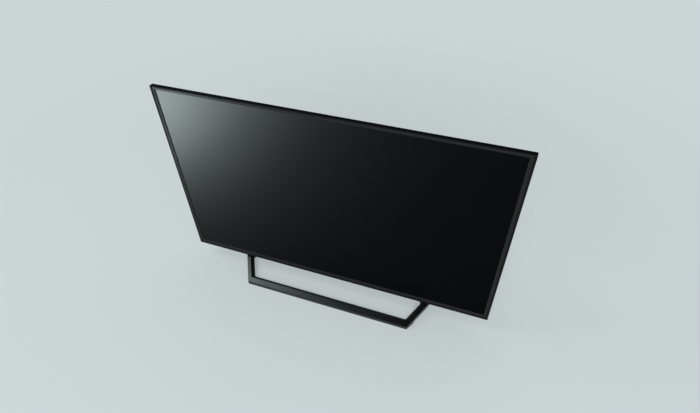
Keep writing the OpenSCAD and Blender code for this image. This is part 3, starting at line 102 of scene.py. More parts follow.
def surface(name, tones, spot_mm, rough, grain_mm, relief_mm, sockets=None, pace=(1, 1, 1)):
    """A material: its colour drifts between two tones and its roughness between two values, in spots of
    spot_mm, and its skin has a grain of grain_mm that stands relief_mm high. pace says how quickly the
    pattern changes along each axis."""
    material = bpy.data.materials.new(name)
    material.use_nodes = True
    tree = material.node_tree
    tree.nodes.clear()
    place = add(tree, "ShaderNodeTexCoord").outputs["Object"]
    drawn = add(tree, "ShaderNodeMapping", {"Vector": place, "Scale": pace}).outputs["Vector"]
    spots = add(tree, "ShaderNodeTexNoise", {"Vector": drawn, "Scale": 1/(spot_mm*mm), "Detail": spot_detail})
    # A Mix node blends colours from its inputs 6 and 7 into its output 2, and numbers from 2 and 3 into 0
    tone = add(tree, "ShaderNodeMix", {0: spots.outputs["Fac"], 6: linear(tones[0]), 7: linear(tones[1])},
               data_type="RGBA")
    gloss = add(tree, "ShaderNodeMapRange", {"Value": spots.outputs["Fac"], "From Min": noise_low,
                                             "From Max": noise_high, "To Min": rough[0], "To Max": rough[1]})
    grain = add(tree, "ShaderNodeTexNoise",
                {"Vector": drawn, "Scale": 1/(grain_mm*mm), "Detail": grain_detail})
    bump = add(tree, "ShaderNodeBump", {"Height": grain.outputs["Fac"], "Distance": relief_mm*mm})
    shader = add(tree, "ShaderNodeBsdfPrincipled",
                 {"Base Color": tone.outputs[2], "Roughness": gloss.outputs["Result"],
                  "Normal": bump.outputs["Normal"], **(sockets or {})})
    add(tree, "ShaderNodeOutputMaterial", {"Surface": shader.outputs["BSDF"]})
    return material


def seen_rays(tree):
    """1 for the rays that show a thing, straight or in gloss or glass, and 0 for those that light the set."""
    rays = add(tree, "ShaderNodeLightPath").outputs
    mirrored = add(tree, "ShaderNodeMath", {0: rays["Is Glossy Ray"], 1: rays["Is Transmission Ray"]},
                   operation="MAXIMUM").outputs[0]
    return add(tree, "ShaderNodeMath", {0: rays["Is Camera Ray"], 1: mirrored},
               operation="MAXIMUM").outputs[0]


def lamp(name, power, size, place, target, diffuse=True, glossy=True):
    """A square area lamp that faces target and that the camera doesn't see. It can leave out diffuse light
    or gloss."""
    light = bpy.data.objects.new(name, bpy.data.lights.new(name, "AREA"))
    light.data.energy = power
    light.data.size = size
    aim = (target - place).to_track_quat("-Z", "Y").to_matrix().to_4x4()
    light.matrix_world = Matrix.Translation(place) @ aim
    light.visible_camera = False
    light.visible_diffuse = diffuse
    light.visible_glossy = glossy
    scene.collection.objects.link(light)
    return light


def level_sheet(name, half, height):
    """A square sheet that lies level round the middle of the stage."""
    mesh = bpy.data.meshes.new(name)
    corners = [(x*half, y*half, height) for x, y in ((-1, -1), (1, -1), (1, 1), (-1, 1))]
    mesh.from_pydata(corners, [], [(0, 1, 2, 3)])
    sheet = bpy.data.objects.new(name, mesh)
    scene.collection.objects.link(sheet)
    return sheet


floor = level_sheet("floor", floor_half, 0.0)
# Matt seamless paper: it hardly shines, and only a slow cloudiness shows
paper = surface("matt_seamless_paper", (floor_dark, floor_pale), 400, (0.9, 1.0), 3, 0.02,
                {"Specular IOR Level": 0.0})
# The camera sees the paper partly at its own pale tone, more so further out, as on an overexposed sweep:
# the shadow stays faint and no horizon shows
paper_tree = paper.node_tree
paper_place = add(paper_tree, "ShaderNodeTexCoord").outputs["Object"]
away = add(paper_tree, "ShaderNodeVectorMath", {0: paper_place}, operation="LENGTH").outputs["Value"]
fade = add(paper_tree, "ShaderNodeMapRange", {"Value": away, "From Min": floor_near, "From Max": floor_far,
                                              "To Min": floor_glow, "To Max": 1.0},
           interpolation_type="SMOOTHSTEP").outputs["Result"]
glow_share = add(paper_tree, "ShaderNodeMath", {0: seen_rays(paper_tree), 1: fade}, operation="MULTIPLY")
glow = add(paper_tree, "ShaderNodeEmission", {"Color": linear(floor_pale), "Strength": 1.0})
lit = paper_tree.nodes["Principled BSDF"]
sweep = add(paper_tree, "ShaderNodeMixShader", {0: glow_share.outputs[0], 1: lit.outputs["BSDF"],
                                                2: glow.outputs[0]})
paper_tree.links.new(sweep.outputs[0], paper_tree.nodes["Material Output"].inputs["Surface"])
floor.data.materials.append(paper)

flag = level_sheet("flag", flag_half, flag_up)
flag.visible_camera = flag.visible_diffuse = flag.visible_shadow = flag.visible_transmission = False
# Dyed felt: dull charcoal, cloudy
flag.data.materials.append(surface("dyed_wool_felt", ("#141414", "#1A1A1A"), 60, (0.95, 1.0), 2, 0.2,
                                   {"Specular IOR Level": 0.0}))

studio = bpy.data.worlds.new("studio")
scene.world = studio
studio.use_nodes = True
sky_tree = studio.node_tree
sky_tree.nodes.clear()
fill = add(sky_tree, "ShaderNodeBackground", {"Strength": fill_strength, "Color": (1, 1, 1, 1)})
backdrop = add(sky_tree, "ShaderNodeBackground", {"Strength": 1.0, "Color": linear(floor_pale)})
sky = add(sky_tree, "ShaderNodeMixShader", {0: seen_rays(sky_tree), 1: fill.outputs[0],
                                            2: backdrop.outputs[0]})
add(sky_tree, "ShaderNodeOutputWorld", {"Surface": sky.outputs[0]})

softbox_at, stand_at = Vector((-2.6, -0.3, 3.4)), Vector((0.0, 0.0, 0.2))
lamp("softbox", power=35.0, size=2.0, place=softbox_at, target=stand_at, glossy=False)
# The sheen card stands part of the way up to the softbox, and is smaller and weaker to suit
sheen_near, sheen_power, sheen_size = 0.7, 88.0, 2.0
sheen_card = lamp("sheen_card", power=sheen_power*sheen_near**2, size=sheen_size*sheen_near,
                  place=stand_at.lerp(softbox_at, sheen_near), target=stand_at, diffuse=False)
front_lamp_at, floor_middle = Vector((0.8, -3.6, 3.0)), Vector((0.0, 0.0, 0.0))
lamp("front_lamp", power=150.0, size=3.0, place=front_lamp_at, target=floor_middle, glossy=False)
picture_card_at, picture_corner_at = Vector((-0.758, -0.444, 0.222)), Vector((-0.30, -0.03, 0.42))
picture_card = lamp("picture_card", power=116.0, size=0.32, place=picture_card_at, target=picture_corner_at,
                    diffuse=False)
bezel_card_at, top_corner_at = Vector((-0.70, -0.34, 0.08)), Vector((-0.31, -0.03, 0.475))
bezel_card = lamp("bezel_card", power=2.1, size=0.15, place=bezel_card_at, target=top_corner_at,
                  diffuse=False)
cool_white = (0.86, 1.0, 1.0)
for card in (sheen_card, picture_card, bezel_card):
    card.data.color = cool_white


# Front bezel: one thin frame of black ABS, injection moulded, that hooks over the middle frame all round.
# Its outer edge is rounded, its front is flat, and an inner face slopes down to the picture.
bezel_side, bezel_top, bezel_bottom = 10.5*mm, 7.5*mm, 14.0*mm
bezel_wall, bezel_lip, bezel_corner, bezel_edge = 2.0*mm, 1.8*mm, 1.2*mm, 0.9*mm
slope_w, slope_d, slope_round = 5.5*mm, 0.9*mm, 0.25*mm
least_corner, opening_corner, corner_growth, edge_steps = 0.2*mm, 0.3*mm, 0.05, 4


def upright_ring(x0, x1, z0, z1, r, y, steps=6):
    """Points of a rectangle with round corners that stands upright at depth y."""
    corners = ((x1 - r, z0 + r), (x1 - r, z1 - r), (x0 + r, z1 - r), (x0 + r, z0 + r))
    turns = [(i, math.radians(90*(i - 1) + 90*step/steps)) for i in range(4) for step in range(steps + 1)]
    return [(corners[i][0] + r*math.cos(a), y, corners[i][1] + r*math.sin(a)) for i, a in turns]


def new_piece(name, body):
    """A bmesh made into an object at the origin."""
    mesh = bpy.data.meshes.new(name)
    body.to_mesh(mesh)
    body.free()
    piece = bpy.data.objects.new(name, mesh)
    scene.collection.objects.link(piece)
    return piece


def plain(piece):
    """The piece with its modifiers worked into its mesh."""
    graph = bpy.context.evaluated_depsgraph_get()
    made = bpy.data.meshes.new_from_object(piece.evaluated_get(graph))
    piece.modifiers.clear()
    piece.data = made
    return piece


def even_shading(piece, sharp_degrees=35, flat_over=math.inf):
    """Round edges shade round and flats stay flat: normals weighted by the area of the faces. Faces larger
    than flat_over are too large to belong to a rounding and keep their own normal."""
    piece.data.shade_smooth()
    piece.data.set_sharp_from_angle(angle=math.radians(sharp_degrees))
    piece.modifiers.new("even_normals", "WEIGHTED_NORMAL").keep_sharp = True
    plain(piece)
    normals = [corner.vector.copy() for corner in piece.data.corner_normals]
    for face in piece.data.polygons:
        if face.area > flat_over:
            for i in face.loop_indices:
                normals[i] = face.normal.copy()
    piece.data.normals_split_custom_set(normals)
    return piece


def fit(piece, material, slot, *nodes, body="cabinet"):
    """Gives a piece its material, puts it on its body and lets it stand for CAD nodes; its slot is not used.
    """
    piece.data.materials.clear()
    piece.data.materials.append(material)
    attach(piece, body)
    if nodes:
        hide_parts(*nodes)
    return piece


def light_only(light, piece):
    """Lets a lamp reach one piece and no other."""
    reached = bpy.data.collections.new(light.name + "_reach")
    reached.objects.link(piece)
    light.light_linking.receiver_collection = reached


bezel_low, bezel_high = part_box("front_bezel")
bezel_deep = bezel_high.y - bezel_low.y
opening_left, opening_right = bezel_low.x + bezel_side, bezel_high.x - bezel_side
opening_foot, opening_head = bezel_low.z + bezel_bottom, bezel_high.z - bezel_top


def outer_ring(inset, depth):
    """A ring of the bezel that lies inset from its outer edge."""
    return upright_ring(bezel_low.x + inset, bezel_high.x - inset, bezel_low.z + inset, bezel_high.z - inset,
                        max(bezel_corner - inset, least_corner), bezel_low.y + depth)


def opening_ring(grow, depth):
    """A ring of the bezel that lies outside the picture opening by grow."""
    return upright_ring(opening_left - grow, opening_right + grow, opening_foot - grow, opening_head + grow,
                        opening_corner + grow*corner_growth, bezel_low.y + depth)


def loft(name, rings):
    """A closed skin over rings of equally many points, with the last ring joined to the first."""
    body = bmesh.new()
    rows = [[body.verts.new(p) for p in ring] for ring in rings]
    for one, two in zip(rows, rows[1:] + rows[:1]):
        for i in range(len(one)):
            body.faces.new((one[i - 1], one[i], two[i], two[i - 1]))
    bmesh.ops.recalc_face_normals(body, faces=body.faces)
    return new_piece(name, body)


def cut_box(piece, lowest, highest):
    """Takes a box out of a piece."""
    body = bmesh.new()
    bmesh.ops.create_cube(body, size=1.0)
    size = [b - a for a, b in zip(lowest, highest)]
    middle = [(a + b)/2 for a, b in zip(lowest, highest)]
    shape = Matrix.Translation(middle) @ Matrix.Diagonal([*size, 1.0])
    bmesh.ops.transform(body, verts=body.verts, matrix=shape)
    cutter = new_piece("cutter", body)
    cut = piece.modifiers.new("cut", "BOOLEAN")
    cut.object = cutter
    cut.solver = "EXACT"
    plain(piece)
    bpy.data.objects.remove(cutter)


edge_angles = [math.radians(90*step/edge_steps) for step in range(edge_steps + 1)]
rounded_edge = [outer_ring(bezel_edge*(1 - math.cos(a)), bezel_edge*(1 - math.sin(a))) for a in edge_angles]
inner_slope = [opening_ring(slope_w, 0.0), opening_ring(slope_round, slope_d),
               opening_ring(0.0, slope_d + slope_round)]
lip_and_wall = [opening_ring(0.0, bezel_lip), outer_ring(bezel_wall, bezel_lip),
                outer_ring(bezel_wall, bezel_deep)]
bezel = loft("bezel", [outer_ring(0.0, bezel_deep)] + rounded_edge + inner_slope + lip_and_wall)
# The slot for the infrared window
window_low, window_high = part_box("infrared_lens")
window_gap, window_side, window_inset = 0.3*mm, 2.0*mm, 0.1*mm
slot_low = (window_low.x + window_side - window_gap, window_low.y + window_inset, bezel_low.z - window_gap)
slot_high = (window_high.x - window_side + window_gap, window_high.y - window_inset,
             bezel_low.z + bezel_wall + window_gap)
cut_box(bezel, slot_low, slot_high)
even_shading(bezel)
# Finely eroded ABS: dull charcoal on the flat front, with a fine grain drawn 3 times as coarse.
# The inner slope is smoother, with a soft sheen; its paler tone is a painted sheen, and the sides are painted
# black as painted shade
eroded_abs = surface("finely_eroded_abs", ("#141516", "#18191A"), 30, (0.74, 0.8), 0.9, 0.006,
                     {"Specular IOR Level": 0.1})
# The slope's paler tone is a painted sheen, and the black of the outer sides is a painted shade
painted_sheen_tone, slope_rough, tone_blend = "#212223", 0.45, 0.15*mm
painted_shade_tone, side_from = "#040405", 0.6*mm
bezel_tree = eroded_abs.node_tree
bezel_shader = bezel_tree.nodes["Principled BSDF"]
bezel_place = add(bezel_tree, "ShaderNodeTexCoord").outputs["Object"]
front_middle = ((opening_left + opening_right)/2, bezel_low.y, (opening_foot + opening_head)/2)
slope_reach = ((opening_right - opening_left)/2 + slope_w, side_from,
               (opening_head - opening_foot)/2 + slope_w)
from_middle = add(bezel_tree, "ShaderNodeVectorMath", {0: bezel_place, 1: front_middle}, operation="SUBTRACT")
folded = add(bezel_tree, "ShaderNodeVectorMath", {0: from_middle.outputs[0]}, operation="ABSOLUTE")
past_slope = add(bezel_tree, "ShaderNodeVectorMath", {0: folded.outputs[0], 1: slope_reach},
                 operation="SUBTRACT")
past = add(bezel_tree, "ShaderNodeSeparateXYZ", {0: past_slope.outputs[0]}).outputs
beyond = add(bezel_tree, "ShaderNodeMath", {0: past["X"], 1: past["Z"]}, operation="MAXIMUM").outputs[0]
behind = add(bezel_tree, "ShaderNodeMath", {0: beyond, 1: past["Y"]}, operation="MINIMUM").outputs[0]
# Masks for the painted sheen on the slope and the painted shade on the sides
flat_vs_sheen_share, painted_shade_share = (
    add(bezel_tree, "ShaderNodeMapRange", {"Value": distance, "From Min": -tone_blend,
                                           "From Max": tone_blend}).outputs["Result"]
    for distance in (beyond, behind))
flat_tone = bezel_shader.inputs["Base Color"].links[0].from_socket
flat_gloss = bezel_shader.inputs["Roughness"].links[0].from_socket
# The slope gets the painted sheen tone, and the sides get the painted shade tone
front_and_sheen_tone = add(bezel_tree, "ShaderNodeMix", {0: flat_vs_sheen_share, 6: linear(painted_sheen_tone), 7: flat_tone},
                 data_type="RGBA").outputs[2]
tone_sheen_and_shade = add(bezel_tree, "ShaderNodeMix", {0: painted_shade_share, 6: front_and_sheen_tone, 7: linear(painted_shade_tone)},
                 data_type="RGBA").outputs[2]
both_gloss = add(bezel_tree, "ShaderNodeMix", {0: flat_vs_sheen_share, 2: slope_rough, 3: flat_gloss},
                 data_type="FLOAT").outputs[0]
bezel_tree.links.new(tone_sheen_and_shade, bezel_shader.inputs["Base Color"])
bezel_tree.links.new(both_gloss, bezel_shader.inputs["Roughness"])
fit(bezel, eroded_abs, "bezel_plastic", "front_bezel")
light_only(bezel_card, bezel)


# Liquid crystal panel: two sheets of glass with polarising films, held behind the bezel's lip.
# The front film is roughened against glare, so a lamp shows in it as a wide soft haze.
def coat(material, *nodes):
    """Gives carried-over CAD nodes their material."""
    for node in nodes:
        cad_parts[node].data.materials.clear()
        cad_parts[node].data.materials.append(material)


# Etched polariser film: deep black without a mirror image, its grain drawn 10 times as coarse. The haze is a
# thin rough coat, whose high index keeps it about as strong at a slant
anti_glare_film = surface("etched_polariser_film", ("#020203", "#040405"), 60, (0.5, 0.6), 0.5, 0.0004,
                          {"Specular IOR Level": 0.0, "Coat Weight": 0.012, "Coat IOR": 3.0,
                           "Coat Roughness": 0.5})
coat(anti_glare_film, "lcd_panel")
light_only(picture_card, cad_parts["lcd_panel"])


# Panel electronics: narrow source boards below the glass, joined to it by copper-coloured polyimide films.
# Green glass-epoxy boards carry copper tracks under solder mask, and the films' chips face the bezel.
track_pitch_mm, track_wide_mm = 2.4, 0.5
track_run_mm = 9*track_pitch_mm


def circuit_board(name, mask, track, gloss):
    """A laminate under solder mask: copper tracks show as paler lanes, drawn wider than real ones."""
    material = surface(name, (mask, mask), 12, gloss, 0.4, 0.004)
    tree = material.node_tree
    place = add(tree, "ShaderNodeTexCoord").outputs["Object"]
    upright = add(tree, "ShaderNodeMapping", {"Vector": place, "Rotation": (math.pi/2, 0, 0)})
    lanes = add(tree, "ShaderNodeTexBrick",
                {"Vector": upright.outputs["Vector"], "Scale": 1.0, "Mortar Size": track_wide_mm*mm/2,
                 "Brick Width": track_run_mm*mm, "Row Height": track_pitch_mm*mm,
                 "Color1": linear(mask), "Color2": linear(mask), "Mortar": linear(track)})
    tree.links.new(lanes.outputs["Color"], tree.nodes["Principled BSDF"].inputs["Base Color"])
    return material


# Green solder mask: deep green, a little glossy
green_board = circuit_board("green_solder_mask_epoxy", "#0E3A1E", "#1F5A30", (0.3, 0.4))
# Polyimide film: amber and smooth
polyimide = surface("amber_polyimide_film", ("#8A5214", "#A1641C"), 8, (0.25, 0.35), 0.6, 0.002)
coat(green_board, "source_boards")
coat(polyimide, "source_flex_films")


# Middle frame: a black polycarbonate frame that carries the glass on its ledge and clips into the bezel.
# Its surface is matt from the mould, and it is screwed to the chassis with ten small screws.
# Matt-moulded polycarbonate: charcoal black, dull, with a coarse dry grain
matt_pc = surface("matt_moulded_polycarbonate", ("#121213", "#171718"), 25, (0.6, 0.7), 1.2, 0.012)
coat(matt_pc, "middle_frame")


# Light-spreading stack: three thin optical sheets, a thick white diffuser plate and a white reflector tray.
# Conical pins keep the diffuser off the lenses. All are polyester, polystyrene or acrylic, cut or formed.
# Optical film: white, with the silk of fine prisms
prism_film = surface("prismatic_polyester_film", ("#E4E8EA", "#F0F2F3"), 40, (0.25, 0.35), 0.3, 0.003,
                     pace=(1, 1, 8))
# Diffuser: opal white polystyrene, dull
opal_plate = surface("opal_polystyrene_plate", ("#EDEDEA", "#F4F4F2"), 60, (0.5, 0.6), 1.5, 0.004)
# Reflector: foamed polyester, whiter than paper, soft
foam_white = surface("foamed_white_polyester", ("#F2F2F0", "#FAFAF8"), 20, (0.7, 0.85), 0.6, 0.006)
coat(prism_film, "optical_sheets")
coat(opal_plate, "diffuser_plate")
coat(foam_white, "reflector_sheet", "diffuser_pins")


# Backlight: three aluminium bars with white solder mask, taped to the tray, seven lensed LEDs on each.
# The lenses are moulded acrylic, wide and low, glued over the LED chips.
# White solder mask: bright, even, a little glossy
white_mask = surface("white_solder_mask_aluminium", ("#E2E2DC", "#ECECE8"), 10, (0.3, 0.4), 0.8, 0.003)
# Clear acrylic: water-clear and polished, the tint of thick edges
clear_acrylic = surface("clear_moulded_acrylic", ("#E9F1F4", "#F3F8FA"), 10, (0.03, 0.06), 2.0, 0.001,
                        {"Transmission Weight": 0.9, "IOR": 1.49})
coat(white_mask, "led_bars")
coat(clear_acrylic, "led_lenses")


# Rear chassis: a pressed tray of galvanised steel that carries the backlight in front and the boards behind.
# Its bosses are pressed out and threaded. The timing shield and the speaker baskets are the same sheet.
spangle_mm, spangle_dark, spangle_pale = 9.0, "#83888B", "#B4B8BB"
# Galvanised steel: zinc freezes in angular spangles, and each crystal has its own tone
galvanised = surface("galvanised_steel_sheet", ("#8F9396", "#A9ADB0"), 6, (0.35, 0.5), 0.8, 0.004,
                     {"Metallic": 1.0})
steel_tree = galvanised.node_tree
steel_place = add(steel_tree, "ShaderNodeTexCoord").outputs["Object"]
crystals = add(steel_tree, "ShaderNodeTexVoronoi", {"Vector": steel_place, "Scale": 1/(spangle_mm*mm)})
crystal_tone = add(steel_tree, "ShaderNodeMix", {0: crystals.outputs["Color"], 6: linear(spangle_dark),
                                                 7: linear(spangle_pale)}, data_type="RGBA")
steel_tree.links.new(crystal_tone.outputs[2], steel_tree.nodes["Principled BSDF"].inputs["Base Color"])
coat(galvanised, "rear_chassis", "timing_shield", "speaker_baskets")


# Circuit boards: main, timing, key and infrared boards are green epoxy, the power board is brown paper
# laminate, and the wireless module is blue. They are screwed to the chassis bosses or clipped.
# Paper laminate: tan and rather dull. Blue solder mask: as glossy as the green
brown_board = circuit_board("brown_paper_laminate", "#7A5526", "#8F6A36", (0.45, 0.55))
blue_board = circuit_board("blue_solder_mask_epoxy", "#123A6B", "#1D4F8C", (0.3, 0.4))
coat(green_board, "main_board", "timing_board", "key_board", "infrared_board")
coat(brown_board, "power_board")
coat(blue_board, "wireless_module")


# Parts on the boards: chips, connectors, capacitors and switches in black, two finned heatsinks, and a taped
# transformer and line filter. All are soldered to their boards.
# Black epoxy: dull charcoal with a stony grain
black_epoxy = surface("moulded_black_epoxy", ("#161617", "#1D1D1F"), 5, (0.5, 0.6), 0.6, 0.006)
# Black anodised extrusion: fine lines along the fins
black_anodised = surface("black_anodised_aluminium", ("#151517", "#202023"), 6, (0.3, 0.42), 0.5, 0.004,
                         {"Metallic": 0.6}, pace=(1, 1, 0.08))
# Mill-finish aluminium: pale, streaked along the rolling
mill_aluminium = surface("mill_finish_aluminium", ("#B4B6B9", "#C9CBCD"), 6, (0.28, 0.4), 0.5, 0.004,
                         {"Metallic": 1.0}, pace=(0.08, 1, 1))
# Polyester tape: yellow, overlapping turns
winding_tape = surface("yellow_polyester_tape", ("#B89A1E", "#CDB13A"), 4, (0.35, 0.5), 1.0, 0.02,
                       pace=(0.1, 1, 1))
coat(black_epoxy, "main_board_parts", "power_capacitors", "key_switches")
coat(black_anodised, "main_heatsink")
coat(mill_aluminium, "power_heatsink")
coat(winding_tape, "power_transformers")


# Cables inside: two flat white ribbons to the panel, the red LED harness, speaker wires and blue mains leads.
# Wires are stranded copper in soft vinyl; the ribbons are flat conductors between polyester films.
conductor_mm, conductor_grey, film_white = 1.0, "#B9BCBD", "#E2E2DE"
# Laminated ribbon: tinned conductors show through the white film as grey stripes
ribbon = surface("laminated_flat_cable", ("#D6D6D0", film_white), 10, (0.35, 0.45), 0.8, 0.003)
ribbon_tree = ribbon.node_tree
ribbon_place = add(ribbon_tree, "ShaderNodeTexCoord").outputs["Object"]
stripes = add(ribbon_tree, "ShaderNodeTexWave", {"Vector": ribbon_place, "Scale": 1/(conductor_mm*mm)/10},
              wave_type="BANDS", bands_direction="X")
stripe_tone = add(ribbon_tree, "ShaderNodeMix", {0: stripes.outputs["Fac"], 6: linear(conductor_grey),
                                                 7: linear(film_white)}, data_type="RGBA")
ribbon_tree.links.new(stripe_tone.outputs[2], ribbon_tree.nodes["Principled BSDF"].inputs["Base Color"])
# Soft vinyl: even colour, waxy shine
red_vinyl = surface("red_vinyl_wire", ("#8E1510", "#A11C15"), 15, (0.35, 0.45), 0.8, 0.004)
blue_vinyl = surface("blue_vinyl_wire", ("#173A78", "#1E478F"), 15, (0.35, 0.45), 0.8, 0.004)
coat(ribbon, "panel_ribbons")
coat(red_vinyl, "led_harness", "speaker_wires")
coat(blue_vinyl, "mains_leads")


# Speakers: two long boxes of black polycarbonate, each with an oval driver that fires down through the cover.
# The cones are pressed black paper and move in a rubber surround.
# Pressed paper: fibrous, dull charcoal
pressed_paper = surface("pressed_paper_pulp", ("#191817", "#24221F"), 3, (0.75, 0.9), 0.7, 0.03)
# Natural rubber: dull black with a bloom
black_rubber = surface("moulded_black_rubber", ("#0F0F0F", "#181817"), 10, (0.65, 0.8), 0.8, 0.01)
coat(matt_pc, "speaker_boxes")
coat(pressed_paper, "left_speaker_cone", "right_speaker_cone")
coat(black_rubber, "speaker_surrounds")


# Rear cover: one large shell of black polystyrene, moulded with a spark-eroded texture, a shallow slab above,
# a deep bulge below, the socket deck with its side pocket, and cooling slots. Eight screws hold it on.
cover_round, cover_long, cover_rim, cover_flat = 1.6*mm, 24*mm, 1*mm, 1000*mm*mm
weld, coarse_weld, round_profile = 0.001*mm, 0.06*mm, 0.5
# Faces that turn by less than the first angle are one flat, and an edge that turns by more than the second
# is sharp
flat_degrees, edge_degrees = 0.5, 25


def rounded_copy(node, name, radius, segments=2, wanted=None, merge=weld, flat_over=math.inf):
    """A copy of a CAD node's mesh with its sharp outer edges rounded off, or only those that are wanted.
    Points closer than merge become one."""
    body = bmesh.new()
    body.from_mesh(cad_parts[node].data)
    bmesh.ops.remove_doubles(body, verts=body.verts, dist=merge)
    bmesh.ops.dissolve_degenerate(body, dist=merge, edges=body.edges)
    bmesh.ops.dissolve_limit(body, angle_limit=math.radians(flat_degrees), verts=body.verts, edges=body.edges)
    sharp = [e for e in body.edges
             if e.is_manifold and e.calc_face_angle_signed(0.0) > math.radians(edge_degrees)
             and (wanted is None or wanted(e))]
    bmesh.ops.bevel(body, geom=sharp, offset=radius, offset_type="OFFSET", segments=segments,
                    profile=round_profile, affect="EDGES", clamp_overlap=True)
    return even_shading(new_piece(name, body), flat_over=flat_over)


cover_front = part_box("rear_cover")[0].y


def outer_cover_edge(edge):
    """True for the long edges of the cover's outside, and not for its rim or its slots."""
    at_rim = max(v.co.y for v in edge.verts) < cover_front + cover_rim
    return edge.calc_length() > cover_long and not at_rim


rear_shell = rounded_copy("rear_cover", "rear_shell", cover_round, segments=3, wanted=outer_cover_edge,
                          merge=coarse_weld, flat_over=cover_flat)
# Spark-eroded polystyrene: soft black with a dry sparkle, its 0.2 mm grain drawn 6 times as coarse to show
eroded_ps = surface("spark_eroded_polystyrene", ("#1A1B1D", "#202123"), 40, (0.5, 0.62), 1.2, 0.1)
fit(rear_shell, eroded_ps, "cover_plastic", "rear_cover")


# Screws: pan-head machine screws with a cross recess, in plain zinc inside and black zinc where they show.
# Each group follows its CAD node: where the screws stand, how long they are and which way they point.
def new_tree(name, inputs):
    """A Geometry Nodes tree with points in, geometry out and named inputs of the given socket kinds."""
    tree = bpy.data.node_groups.new(name, "GeometryNodeTree")
    tree.interface.new_socket("Geometry", in_out="OUTPUT", socket_type="NodeSocketGeometry")
    tree.interface.new_socket("Points", in_out="INPUT", socket_type="NodeSocketGeometry")
    for label, kind in inputs.items():
        tree.interface.new_socket(label, in_out="INPUT", socket_type="NodeSocket" + kind)
    return tree, add(tree, "NodeGroupInput").outputs


def grown(name, tree, sizes, points=()):
    """The plain mesh that a tree grows on points, with its named inputs set."""
    start = bpy.data.meshes.new(name)
    start.from_pydata(points, [], [])
    piece = bpy.data.objects.new(name, start)
    scene.collection.objects.link(piece)
    grower = piece.modifiers.new("grower", "NODES")
    grower.node_group = tree
    for item in tree.interface.items_tree:
        if item.name in sizes:
            grower[item.identifier] = sizes[item.name]
    return plain(piece)


# The straight disc's share of a head's height, and shares of the head's radius: the top of its crown, and the
# length and the width of its recess
disc_share, crown_share, recess_long_share, recess_wide_share = 0.6, 0.72, 1.1, 0.3
head_sides, shank_sides, screw_seed = 32, 20, 7
screw_tree, given = new_tree("pan_head_screws", {
    "Head Radius": "Float", "Head Height": "Float", "Shank Radius": "Float", "Shank Length": "Float",
    "Recess Width": "Float", "Facing": "Vector", "Seed": "Int", "Metal": "Material"})
disc_height, crown_height, crown_radius, recess_long, shank_drop = (
    add(screw_tree, "ShaderNodeMath", {0: given[size], 1: share}, operation="MULTIPLY").outputs[0]
    for size, share in (("Head Height", disc_share), ("Head Height", 1 - disc_share),
                        ("Head Radius", crown_share), ("Head Radius", recess_long_share),
                        ("Shank Length", -1.0)))
disc = add(screw_tree, "GeometryNodeMeshCone",
           {"Vertices": head_sides, "Radius Top": given["Head Radius"],
            "Radius Bottom": given["Head Radius"], "Depth": disc_height})
crown = add(screw_tree, "GeometryNodeMeshCone",
            {"Vertices": head_sides, "Radius Top": crown_radius,
             "Radius Bottom": given["Head Radius"], "Depth": crown_height})
lift = add(screw_tree, "ShaderNodeCombineXYZ", {"Z": disc_height})
crown_up = add(screw_tree, "GeometryNodeTransform", {"Geometry": crown.outputs["Mesh"],
                                                     "Translation": lift.outputs[0]})
shank_reach = add(screw_tree, "ShaderNodeMath", {0: given["Shank Length"], 1: disc_height}, operation="ADD")
shank = add(screw_tree, "GeometryNodeMeshCone",
            {"Vertices": shank_sides, "Radius Top": given["Shank Radius"],
             "Radius Bottom": given["Shank Radius"], "Depth": shank_reach.outputs[0]})
sink = add(screw_tree, "ShaderNodeCombineXYZ", {"Z": shank_drop})
shank_down = add(screw_tree, "GeometryNodeTransform", {"Geometry": shank.outputs["Mesh"],
                                                       "Translation": sink.outputs[0]})
# The manifold solver joins flush faces the same way every run
whole = add(screw_tree, "GeometryNodeMeshBoolean",
            {"Mesh 2": [disc.outputs["Mesh"], crown_up.outputs[0], shank_down.outputs[0]]},
            operation="UNION", solver="MANIFOLD")
top = add(screw_tree, "ShaderNodeCombineXYZ", {"Z": given["Head Height"]})
recess_arms = []
for lengthwise, crosswise in (("X", "Y"), ("Y", "X")):
    span = add(screw_tree, "ShaderNodeCombineXYZ",
               {lengthwise: recess_long, crosswise: given["Recess Width"], "Z": given["Head Height"]})
    arm = add(screw_tree, "GeometryNodeMeshCube", {"Size": span.outputs[0]})
    arm_up = add(screw_tree, "GeometryNodeTransform", {"Geometry": arm.outputs["Mesh"],
                                                       "Translation": top.outputs[0]})
    recess_arms.append(arm_up.outputs[0])
crossed = add(screw_tree, "GeometryNodeMeshBoolean",
              {"Mesh 1": whole.outputs["Mesh"], "Mesh 2": recess_arms}, operation="DIFFERENCE",
              solver="MANIFOLD")
spin = add(screw_tree, "FunctionNodeRandomValue", {"Max": (0.0, 0.0, math.pi), "Seed": given["Seed"]},
           data_type="FLOAT_VECTOR")
standing = add(screw_tree, "GeometryNodeInstanceOnPoints",
               {"Points": given["Points"], "Instance": crossed.outputs["Mesh"], "Rotation": given["Facing"]})
turned = add(screw_tree, "GeometryNodeRotateInstances", {"Instances": standing.outputs[0],
                                                         "Rotation": spin.outputs["Value"]})
real = add(screw_tree, "GeometryNodeRealizeInstances", {"Geometry": turned.outputs[0]})
plated = add(screw_tree, "GeometryNodeSetMaterial", {"Geometry": real.outputs[0], "Material": given["Metal"]})
add(screw_tree, "NodeGroupOutput", {"Geometry": plated.outputs[0]})


